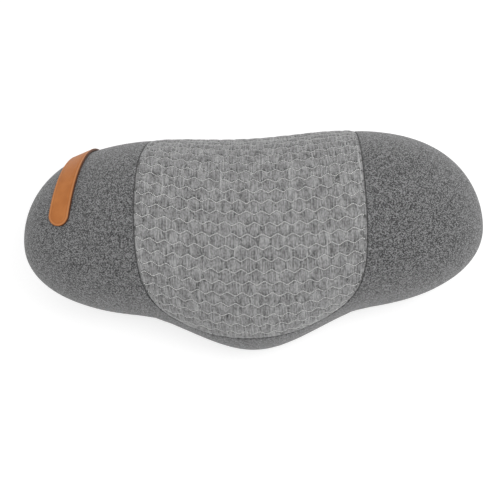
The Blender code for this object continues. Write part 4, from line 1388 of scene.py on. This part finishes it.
    def stitch_row(self, rows: RowMaker, places: np.ndarray, ahead: np.ndarray, seam: np.ndarray,
                   upright: bool, thread: bpy.types.Material) -> bpy.types.Object:
        """Stitches at places on the cloth, as one piece."""
        low, high = self.lengths.min() + 2 * MM, self.lengths.max() - 2 * MM
        fits = np.abs(places[:, 0]) < self.stitched_half_width
        fits &= (places[:, 1] > low) & (places[:, 1] < high)
        places, ahead = places[fits], ahead[fits]
        angle = self.angle_at(places[:, 0], places[:, 1])
        fits = FORM.in_panel(places[:, 0], angle) & (angle > FORM.end_angle(places[:, 0]))
        places, ahead, angle = places[fits], ahead[fits], angle[fits]
        edge = distances(FORM.points(FORM.section(places[:, 0], angle)), seam)
        fits = edge > self.stitch_margin
        places, ahead, angle, edge = places[fits], ahead[fits], angle[fits], edge[fits]
        raised = self.pattern.relief(places[:, 0], places[:, 1])[0]
        points, normals, _ = self.surface(places[:, 0], angle, edge, raised)
        further = places + ahead * 0.5 * MM
        moved = FORM.points(FORM.section(further[:, 0], self.angle_at(further[:, 0], further[:, 1])))
        here = FORM.points(FORM.section(places[:, 0], angle))
        name = "quilting_upright" if upright else "quilting_slanted"
        size = (self.stitch_size[0], self.stitch_size[1] * (0.5 if upright else 1), self.stitch_size[2])
        sink = self.sink_at_top * (1 - smooth_step(angle, *self.sink_angles))
        lift = np.full(len(places), 0.02 * MM) if upright else 0.12 * MM - sink
        piece = rows.make(name, Shape.STITCH, points + normals * lift[:, None], unit(moved - here), normals,
                          size, thread)
        return finish_piece(piece, "cushion", ())


def grid_faces(rows: int, columns: int) -> np.ndarray:
    """Triangles of a grid of points that run in rows, facing up where rows go down a page."""
    number = (np.arange(rows - 1)[:, None] * columns + np.arange(columns - 1)[None, :]).ravel()
    below = number + columns
    return np.concatenate([np.stack([number, below, below + 1], axis=1),
                           np.stack([number, below + 1, number + 1], axis=1)])


def grid_loop(rows: int, columns: int) -> np.ndarray:
    """Numbers of a grid's border points, once round, down the left side first."""
    left = np.arange(rows - 1) * columns
    foot = (rows - 1) * columns + np.arange(columns - 1)
    right = np.arange(rows - 1, 0, -1) * columns + columns - 1
    top = np.arange(columns - 1, 0, -1)
    return np.concatenate([left, foot, right, top])


def bridge_faces(fine: np.ndarray, coarse: np.ndarray, ratio: int) -> np.ndarray:
    """Triangles between a fine loop and a coarse loop with one point for every ratio of the fine one's."""
    faces = []
    for number, here in enumerate(coarse):
        after = coarse[(number + 1) % len(coarse)]
        run = [fine[(number * ratio + step) % len(fine)] for step in range(ratio + 1)]
        middle = ratio // 2
        faces += [(here, run[step + 1], run[step]) for step in range(middle)]
        faces.append((here, after, run[middle]))
        faces += [(after, run[step + 1], run[step]) for step in range(middle, ratio)]
    return np.array(faces)


def clean(piece: bpy.types.Object) -> None:
    """Merge a piece's doubles, close it and point its faces outwards."""
    bm = bmesh.new()
    bm.from_mesh(piece.data)
    bmesh.ops.remove_doubles(bm, verts=bm.verts[:], dist=0.004 * MM)
    bmesh.ops.dissolve_degenerate(bm, edges=bm.edges[:], dist=0.002 * MM)
    bmesh.ops.recalc_face_normals(bm, faces=bm.faces[:])
    bm.to_mesh(piece.data)
    bm.free()


# -------------------------------------------------------------------- cover

@dataclass
class Cover:
    """The plain panels of the cover, from its side panels to its back."""

    swelling: CoverSwelling
    spacing: float = 3.0 * MM
    edge_step: float = 1.8 * MM
    slot_half_width: float = 6 * MM
    slot_half_length: float = 132 * MM
    topstitch_inset: float = 2.6 * MM
    topstitch_groove: float = 0.25 * MM
    topstitch_width: float = 0.7 * MM
    tab_calm: tuple[float, float] = (12 * MM, 22 * MM)

    def loop(self, chart: FormChart, *lines: np.ndarray) -> np.ndarray:
        """A closed outline on a map, from lines of directions that follow each other."""
        places = []
        for line in lines:
            points = FORM.points(line)
            numbers = resample(points, self.edge_step)
            places.append(chart.flatten(unit(pick(line, numbers)))[:-1])
        return np.concatenate(places)

    def ring_between(self, start: np.ndarray, end: np.ndarray, offset: float, way: int) -> np.ndarray:
        """The back seam from one direction's azimuth to another's."""
        first, last = (math.atan2(direction[1], direction[0]) for direction in (start, end))
        if way > 0 and last < first:
            last += 2 * math.pi
        if way < 0 and last > first:
            last -= 2 * math.pi
        return FORM.ring(np.linspace(first, last, 1500), offset)

    def panel(self, name: str, patch: Patch, slot_line: bool) -> bpy.types.Object:
        """A panel from its patch, with rolled edges and its inner side."""
        edge = patch.edge
        calm = smooth_step(edge, 0.5 * MM, 6 * MM) * self.calm_by_tab(patch.points)
        height = self.swelling.at(patch.points) * calm
        height -= SEAM.depth(edge)
        if slot_line:
            beside = np.abs(np.abs(patch.points[:, 1] - ZIP_Y) - self.slot_half_width - self.topstitch_inset)
            height -= self.topstitch_groove * np.exp(-(beside / self.topstitch_width) ** 2)
        outer = patch.points + patch.normals * height[:, None]
        outer[:, 2] = np.maximum(outer[:, 2], 0.02 * MM)
        inner = patch.points - patch.normals * (FORM.cover - LAYER_GAP)
        faces = shell_faces(patch.faces, len(outer))
        return make_mesh(name, np.concatenate([outer, inner]), faces, {"edge": np.r_[edge, edge]})

    @staticmethod
    def calm_by_tab(points: np.ndarray) -> np.ndarray:
        """0 under the leather tab and 1 away from it, so that the cloth stays flat below it."""
        line = LeatherTab().chart().points
        return smooth_step(distances(points, line), Cover.tab_calm[0], Cover.tab_calm[1])

    def build(self, cloth: bpy.types.Material) -> list[bpy.types.Object]:
        """Build the side panels, the back's two panels and the two ends that close the zip's slot."""
        gap = SEAM.clearance
        front, back = FormChart(Pole.FRONT), FormChart(Pole.BACK)
        edge = FORM.panel_edge(gap)
        rim = self.ring_between(edge[-1], edge[0], -gap, -1)
        edge = np.concatenate([rim[-1:], edge[1:-1], rim[:1]])
        outline = self.loop(front, edge, rim)
        sides = self.panel("side_panels", Patch(front, outline, self.spacing), False)
        made = [finish_piece(sides, "cushion", ("surround_panel",), cloth)]
        for name, side in (("upper", 1), ("lower", -1)):
            y = ZIP_Y + side * self.slot_half_width
            line = self.back_line(y, gap)
            ring = self.ring_between(line[-1], line[0], gap, side)
            ring[0], ring[-1] = line[-1], line[0]
            patch = Patch(back, self.loop(back, line, ring), self.spacing)
            panel = self.panel(f"back_{name}", patch, True)
            made.append(finish_piece(panel, "cushion", (f"back_panel_{name}",), cloth))
        half = self.slot_half_width - 2 * gap
        for name, side in (("left", -1), ("right", 1)):
            low, high = (self.back_line(ZIP_Y + y, gap) for y in (-half, half))
            start = side * self.slot_half_length
            keep = [line[side * FORM.points(line)[:, 0] >= side * start] for line in (low, high)]
            near = FORM.back(np.full(40, start), ZIP_Y + np.linspace(half, -half, 40))
            lower, upper = keep
            if side < 0:
                lower = lower[::-1]
                upper = upper[::-1]
            lower = np.concatenate([near[-1:], lower])
            upper = np.concatenate([near[:1], upper])
            ring = self.ring_between(lower[-1], upper[-1], gap, side)
            ring[0], ring[-1] = lower[-1], upper[-1]
            outline = self.loop(back, lower, ring, upper[::-1], near)
            panel = self.panel(f"slot_end_{name}", Patch(back, outline, self.spacing), False)
            made.append(finish_piece(panel, "cushion", (f"zip_end_{name}",), cloth))
        return made

    def back_line(self, y: float, gap: float) -> np.ndarray:
        """Directions along the back at y, from the back seam on the left to the right."""
        x = np.linspace(-FORM.half_width * 0.985, FORM.half_width * 0.985, 3001)
        line = FORM.back(x, np.full(len(x), y))
        azimuth = np.arctan2(line[:, 1], line[:, 0])
        limit = FORM.ring(azimuth, gap)[:, 2]
        return line[line[:, 2] < limit]


@dataclass
class LeatherTab:
    """The leather tab over the edge of the left wing, and its bar tack."""

    width: float = 20 * MM
    thickness: float = 2.2 * MM
    rest_gap: float = 0.4 * MM
    root: tuple[float, float] = (-154 * MM, math.radians(-34))
    end: tuple[float, float] = (-168 * MM, math.radians(96))
    edge_radius: float = 0.9 * MM
    crease_inset: float = 2.4 * MM
    crease_depth: float = 0.22 * MM
    crease_width: float = 0.38 * MM
    tack_stitches: int = 24
    tack_half_width: float = 6.4 * MM
    tack_place: float = 5 * MM
    tack_size: tuple[float, float, float] = (2.6 * MM, 0.62 * MM, 0.6 * MM)

    def chart(self) -> StripChart:
        """The strip that the tab lies on."""
        share = np.linspace(0, 1, 1200)
        angle = self.root[1] + (self.end[1] - self.root[1]) * share
        x = self.root[0] + (self.end[0] - self.root[0]) * share ** 2
        directions = FORM.section(x, angle)
        normals = FORM.normals(directions)
        points = FORM.points(directions) + normals * self.rest_gap
        numbers = resample(points, 1.5 * MM)
        points, normals = pick(points, numbers), unit(pick(normals, numbers))
        for _ in range(3):
            points[1:-1] = (points[:-2] + 2 * points[1:-1] + points[2:]) / 4
            normals[1:-1] = unit(normals[:-2] + 2 * normals[1:-1] + normals[2:])
        return StripChart(points, normals)

    def build(self, rows: RowMaker, leather: bpy.types.Material,
              thread: bpy.types.Material) -> list[bpy.types.Object]:
        """Build the tab and the tack."""
        chart = self.chart()
        half = self.width / 2
        length = chart.reach[-1]
        turn = np.linspace(-math.pi / 2, math.pi / 2, 41)
        cap = np.stack([length - half + half * np.cos(turn), half * np.sin(turn)], axis=1)
        run = np.arange(0, length - half, 0.9 * MM)
        low = np.stack([run, np.full(len(run), -half)], axis=1)
        high = np.stack([run[::-1], np.full(len(run), half)], axis=1)
        start = np.stack([np.zeros(20), np.linspace(half, -half, 22)[1:-1]], axis=1)
        insets = (0.12 * MM, 0.3 * MM, 0.55 * MM, 0.9 * MM, 1.5 * MM, 1.95 * MM, 2.2 * MM, 2.4 * MM, 2.6 * MM,
                  2.9 * MM)
        patch = Patch(chart, np.concatenate([low, cap, high, start]), 1.6 * MM, insets)
        edge = patch.edge
        height = self.thickness - roll_depth(edge, self.edge_radius)
        height -= self.crease_depth * np.exp(-((edge - self.crease_inset) / self.crease_width) ** 2)
        outer = patch.points + patch.normals * height[:, None]
        inner = patch.points
        tab = make_mesh("leather_strap_tab", np.concatenate([outer, inner]),
                        shell_faces(patch.faces, len(outer)), {"edge": np.r_[edge, np.zeros(len(edge))]})
        leather_piece = finish_piece(tab, "tab", ("leather_tab",), leather)
        return [leather_piece, self.bar_tack(chart, rows, thread)]

    def bar_tack(self, chart: StripChart, rows: RowMaker, thread: bpy.types.Material) -> bpy.types.Object:
        """The close zigzag stitches that hold the tab near its root."""
        count = self.tack_stitches
        across = np.linspace(-self.tack_half_width, self.tack_half_width, count)
        lean = np.where(np.arange(count) % 2 == 0, 1, -1)
        places = np.stack([np.full(count, self.tack_place), across], axis=1)
        points, normals = chart.lift(places)
        step = np.stack([np.full(count, 1.0), 0.2 * lean], axis=1) * MM
        ahead = unit(chart.lift(places + step)[0] - points)
        tack = rows.make("bar_tack", Shape.STITCH, points + normals * (self.thickness + 0.1 * MM), ahead,
                         normals, self.tack_size, thread, 0.04)
        return finish_piece(tack, "tab", ("tab_bar_tack",))


@dataclass
class Zip:
    """The zip in the back: its tapes, teeth, stops, slider and pull, and the stitches beside it."""

    pitch: float = 2.6 * MM
    end_gap: float = 1.5 * MM
    topstitch_pitch: float = 3.2 * MM
    topstitch_size: tuple[float, float, float] = (2.5 * MM, 0.6 * MM, 0.5 * MM)
    topstitch_rise: float = 0.05 * MM

    def build(self, rows: RowMaker, teeth: bpy.types.Material, metal: bpy.types.Material,
              tape: bpy.types.Material, thread: bpy.types.Material) -> list[bpy.types.Object]:
        """Build all of the zip's pieces and the stitches beside it."""
        made = []
        for node in ("zip_tape_upper", "zip_tape_lower"):
            made.append(self.rounded_copy(node, "cushion", "zip_tape", tape))
        for node in ("zip_stop_left", "zip_stop_right"):
            made.append(self.rounded_copy(node, "cushion", "zip_metal", metal))
        for name, side in (("upper", 1), ("lower", -1)):
            node = f"zip_teeth_{name}"
            low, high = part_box(node)
            middle = (low.z + high.z) / 2
            x = np.arange(low.x + self.end_gap, high.x - self.end_gap, self.pitch)
            x += self.pitch / 2 if side > 0 else 0
            reach = abs(high.y - low.y)
            y = (low.y + high.y) / 2
            places = np.stack([x, np.full(len(x), y), np.full(len(x), middle)], axis=1)
            along = np.tile([side * -1.0, 0, 0], (len(x), 1))
            out = np.tile([0, 0, 1.0], (len(x), 1))
            row = rows.make(node + "_row", Shape.TOOTH, places, along, out,
                            (self.pitch * 0.78, reach * 0.92, (high.z - low.z) * 0.95), teeth, 0.0)
            made.append(finish_piece(row, "cushion", (node,)))
        for node, body in (("zip_slider", "slider"), ("zip_pull", "pull")):
            made.append(self.rounded_copy(node, body, "zip_metal", metal))
        made += self.topstitches(rows, thread)
        return made

    @staticmethod
    def rounded_copy(node: str, body: str, slot: str, finish: bpy.types.Material) -> bpy.types.Object:
        """A copy of a CAD node with rounded edges."""
        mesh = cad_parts[node].data.copy()
        piece = linked(f"{node}_rounded", mesh)
        bm = bmesh.new()
        bm.from_mesh(mesh)
        bmesh.ops.remove_doubles(bm, verts=bm.verts[:], dist=0.005 * MM)
        bmesh.ops.recalc_face_normals(bm, faces=bm.faces[:])
        bm.to_mesh(mesh)
        bm.free()
        bevel = piece.modifiers.new("edges", "BEVEL")
        bevel.width = 0.14 * MM
        bevel.segments = 2
        bevel.limit_method = "ANGLE"
        bevel.angle_limit = math.radians(40)
        bevel.use_clamp_overlap = True
        made = apply_modifiers(piece)
        made.shade_smooth()
        made.set_sharp_from_angle(angle=math.radians(35))
        return finish_piece(piece, body, (node,), finish)

    def topstitches(self, rows: RowMaker, thread: bpy.types.Material) -> list[bpy.types.Object]:
        """The two rows of stitches that hold the tapes to the back."""
        half = Cover.slot_half_length
        aside = Cover.slot_half_width + Cover.topstitch_inset
        x = np.arange(-half, half, self.topstitch_pitch)
        made = []
        for name, side in (("upper", 1), ("lower", -1)):
            directions = FORM.back(x, np.full(len(x), ZIP_Y + side * aside))
            normals = FORM.normals(directions)
            points = FORM.points(directions)
            depth = SEAM.pulled(Cover.topstitch_inset) + Cover.topstitch_groove
            places = points - normals * (depth - self.topstitch_rise)
            along = unit(np.gradient(points, axis=0))
            row = rows.make(f"topstitch_{name}", Shape.STITCH, places, along, normals,
                            self.topstitch_size, thread)
            made.append(finish_piece(row, "cushion", ()))
        return made


@dataclass
class Seams:
    """The short stitches that show at the bottom of the seams' grooves."""

    pitch: float = 2.4 * MM
    depth: float = 1.75 * MM
    size: tuple[float, float, float] = (1.9 * MM, 0.5 * MM, 0.5 * MM)

    def build(self, rows: RowMaker, thread: bpy.types.Material) -> list[bpy.types.Object]:
        """Build the stitches of the seam round the quilted panel and of the back seam."""
        made = []
        ring = FORM.ring(np.linspace(-math.pi, math.pi, 3000), 0)
        for name, line in (("front_seam", FORM.panel_edge(0)), ("back_seam", ring)):
            numbers = resample(FORM.points(line), self.pitch)[1:-1]
            directions = unit(pick(line, numbers))
            normals = FORM.normals(directions)
            points = FORM.points(directions) - normals * self.depth
            along = unit(np.gradient(points, axis=0))
            row = rows.make(f"{name}_stitches", Shape.STITCH, points, along, normals, self.size, thread)
            made.append(finish_piece(row, "cushion", (f"{name}_thread",)))
        return made


@dataclass
class Label:
    """The blank care label on the back, with its folded ends sewn down."""

    fold: float = 3.0 * MM
    thickness: float = 0.4 * MM
    gap: float = 0.3 * MM

    def build(self, rows: RowMaker, satin: bpy.types.Material,
              thread: bpy.types.Material) -> list[bpy.types.Object]:
        """Build the label and its stitches."""
        low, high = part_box("care_label")
        chart = FormChart(Pole.BACK)
        corners = ((low.x, low.y), (high.x, low.y), (high.x, high.y), (low.x, high.y))
        lines = []
        for (x0, y0), (x1, y1) in zip(corners, corners[1:] + corners[:1]):
            share = np.linspace(0, 1, 20, endpoint=False)
            lines.append(FORM.back(x0 + (x1 - x0) * share, y0 + (y1 - y0) * share))
        patch = Patch(chart, chart.flatten(np.concatenate(lines)), 1.0 * MM, (0.15 * MM, 0.4 * MM))
        x = patch.points[:, 0]
        folded = smooth_step(np.minimum(x - low.x, high.x - x), self.fold, self.fold + 0.3 * MM)
        height = self.gap + self.thickness * (1 - 0.45 * folded) - roll_depth(patch.edge, 0.12 * MM)
        outer = patch.points + patch.normals * height[:, None]
        inner = patch.points + patch.normals * self.gap
        label = make_mesh("blank_label", np.concatenate([outer, inner]),
                          shell_faces(patch.faces, len(outer)), {"edge": np.r_[patch.edge, patch.edge]})
        made = [finish_piece(label, "cushion", ("care_label",), satin)]
        places, ahead = [], []
        for x in (low.x + self.fold / 2, high.x - self.fold / 2):
            for y in np.arange(low.y + 1 * MM, high.y - 0.5 * MM, 1.5 * MM):
                places.append((x, y))
                ahead.append((0.0, 1.0, 0.0))
        directions = FORM.back(*np.array(places).T)
        normals = FORM.normals(directions)
        points = FORM.points(directions) + normals * (self.gap + self.thickness)
        row = rows.make("label_stitches", Shape.STITCH, points, np.array(ahead), normals,
                        (1.2 * MM, 0.35 * MM, 0.25 * MM), thread)
        made.append(finish_piece(row, "cushion", ()))
        return made


@dataclass
class Filling:
    """The foam in its liner, which shows through the zip's slot."""

    depth: float = 4.2 * MM
    dent: float = 3 * MM
    slope: float = 10 * MM
    dent_half_length: float = 133.5 * MM
    dent_half_width: float = 14.5 * MM

    def build(self, swelling: CoverSwelling, cloth: bpy.types.Material) -> list[bpy.types.Object]:
        """Build the filled liner."""
        directions, faces = even_sphere()
        base, normals = FORM.points(directions), FORM.normals(directions)
        points = base - normals * (self.depth - np.minimum(0, swelling.at(base)))[:, None]
        outside = np.maximum(np.abs(points[:, 0]) - self.dent_half_length,
                             np.abs(points[:, 1] - ZIP_Y) - self.dent_half_width)
        rise = self.dent * np.clip(1 - outside / self.slope, 0, 1)
        points[:, 2] += np.where(directions[:, 2] < 0, rise, 0)
        body = make_mesh("filled_liner", points, faces)
        clean(body)
        finish_piece(body, "cushion", ("foam_core", "liner_front", "liner_back"), cloth)
        return [body]


# --------------------------------------------------------------------- stage

@dataclass
class Studio:
    """The floor, the light and the camera."""

    target: tuple[float, float, float] = (0.0, 0.0, 0.060)
    towards: tuple[float, float, float] = (0.05157, -0.20791, 0.97679)
    distance: float = 613.7 * MM
    roll: float = math.radians(-1.852)
    raise_view: float = 13.47 * MM
    lens: float = 46.9
    floor_size: float = 6.0
    world: float = 0.60

    def build(self) -> None:
        """Build the stage."""
        self.floor()
        self.lights()
        self.camera()

    def camera(self) -> None:
        """Put the camera over the cushion's front."""
        d = unit(np.array(self.towards))
        right = unit(np.cross([0.0, 1.0, 0.0], d))
        up = np.cross(d, right)
        turned = math.cos(self.roll) * right + math.sin(self.roll) * up
        upward = -math.sin(self.roll) * right + math.cos(self.roll) * up
        place = np.array(self.target) + d * self.distance
        aim = np.array(self.target) - upward * self.raise_view
        back = unit(place - aim)
        upward = unit(upward - back * np.dot(upward, back))
        turned = np.cross(upward, back)
        data = bpy.data.cameras.new("camera")
        data.lens = self.lens
        data.sensor_width = 36.0
        data.clip_start = 0.01
        camera = bpy.data.objects.new("camera", data)
        axes = Matrix((turned, upward, back)).transposed()
        camera.matrix_world = Matrix.Translation(place) @ axes.to_4x4()
        bpy.context.scene.collection.objects.link(camera)
        bpy.context.scene.camera = camera

    def floor(self) -> None:
        """Lay a plain pale floor."""
        half = self.floor_size / 2
        points = np.array([(-half, -half, 0), (half, -half, 0), (half, half, 0), (-half, half, 0)])
        floor = make_mesh("floor", points - [0, 0, 0.05 * MM], np.array([(0, 1, 2), (0, 2, 3)]))
        material, graph, shader, at = start_material("pale_floor")
        tone = graph.spread(graph.noise(at["Object"], 3.0), 0.0, 1.0, 0.0, 1.0)
        wire(graph, shader, Base_Color=graph.blend(tone, (0.55, 0.55, 0.55, 1), (0.57, 0.57, 0.57, 1)))
        shader.inputs["Roughness"].default_value = 0.9
        shader.inputs["Emission Color"].default_value = (1, 1, 1, 1)
        shader.inputs["Emission Strength"].default_value = 0.60
        floor.data.materials.append(material)

    def lights(self) -> None:
        """Light the scene evenly, with a little more from the upper right."""
        world = bpy.data.worlds.new("studio")
        world.use_nodes = True
        background = world.node_tree.nodes["Background"]
        background.inputs[0].default_value = (1, 1, 1, 1)
        background.inputs[1].default_value = self.world
        bpy.context.scene.world = world
        lamps = (("overhead", (0.05, 0.12, 1.4), 5.0, 1.5), ("key", (0.75, 0.10, 1.10), 4.2, 0.6))
        for name, place, power, size in lamps:
            data = bpy.data.lights.new(name, "AREA")
            data.energy = power
            data.size = size
            lamp = bpy.data.objects.new(name, data)
            lamp.location = place
            lamp.rotation_mode = "QUATERNION"
            lamp.rotation_quaternion = Vector(place).to_track_quat("Z", "Y")
            bpy.context.scene.collection.objects.link(lamp)
        bpy.context.scene.view_settings.view_transform = "Standard"


def main() -> None:
    """Build the cushion's looks in order."""
    logging.basicConfig(level=logging.INFO, format="%(message)s")
    Studio().build()
    swelling = CoverSwelling()
    rows = RowMaker()
    heather = HeatherFinish().make()
    light = ThreadFinish("light_thread", (0.94, 0.94, 0.93)).make()
    grey = ThreadFinish("grey_thread", (0.26, 0.26, 0.26)).make()
    dark = ThreadFinish("charcoal_thread", (0.05, 0.05, 0.052)).make()
    tan = ThreadFinish("tan_thread", (0.36, 0.15, 0.06)).make()
    metal = MetalFinish().make()
    Filling().build(swelling, LinerFinish().make())
    QuiltedPanel(swelling).build(rows, QuiltFinish().make(), light, grey)
    Cover(swelling).build(heather)
    Seams().build(rows, dark)
    LeatherTab().build(rows, LeatherFinish().make(), tan)
    tape = TapeFinish("black_zip_tape", (0.035, 0.035, 0.037)).make()
    Zip().build(rows, ResinFinish().make(), metal, tape, grey)
    Label().build(rows, TapeFinish("white_label_tape", (0.80, 0.80, 0.79)).make(),
                  ThreadFinish("white_thread", (0.75, 0.75, 0.74)).make())


if __name__ == "__main__":
    main()
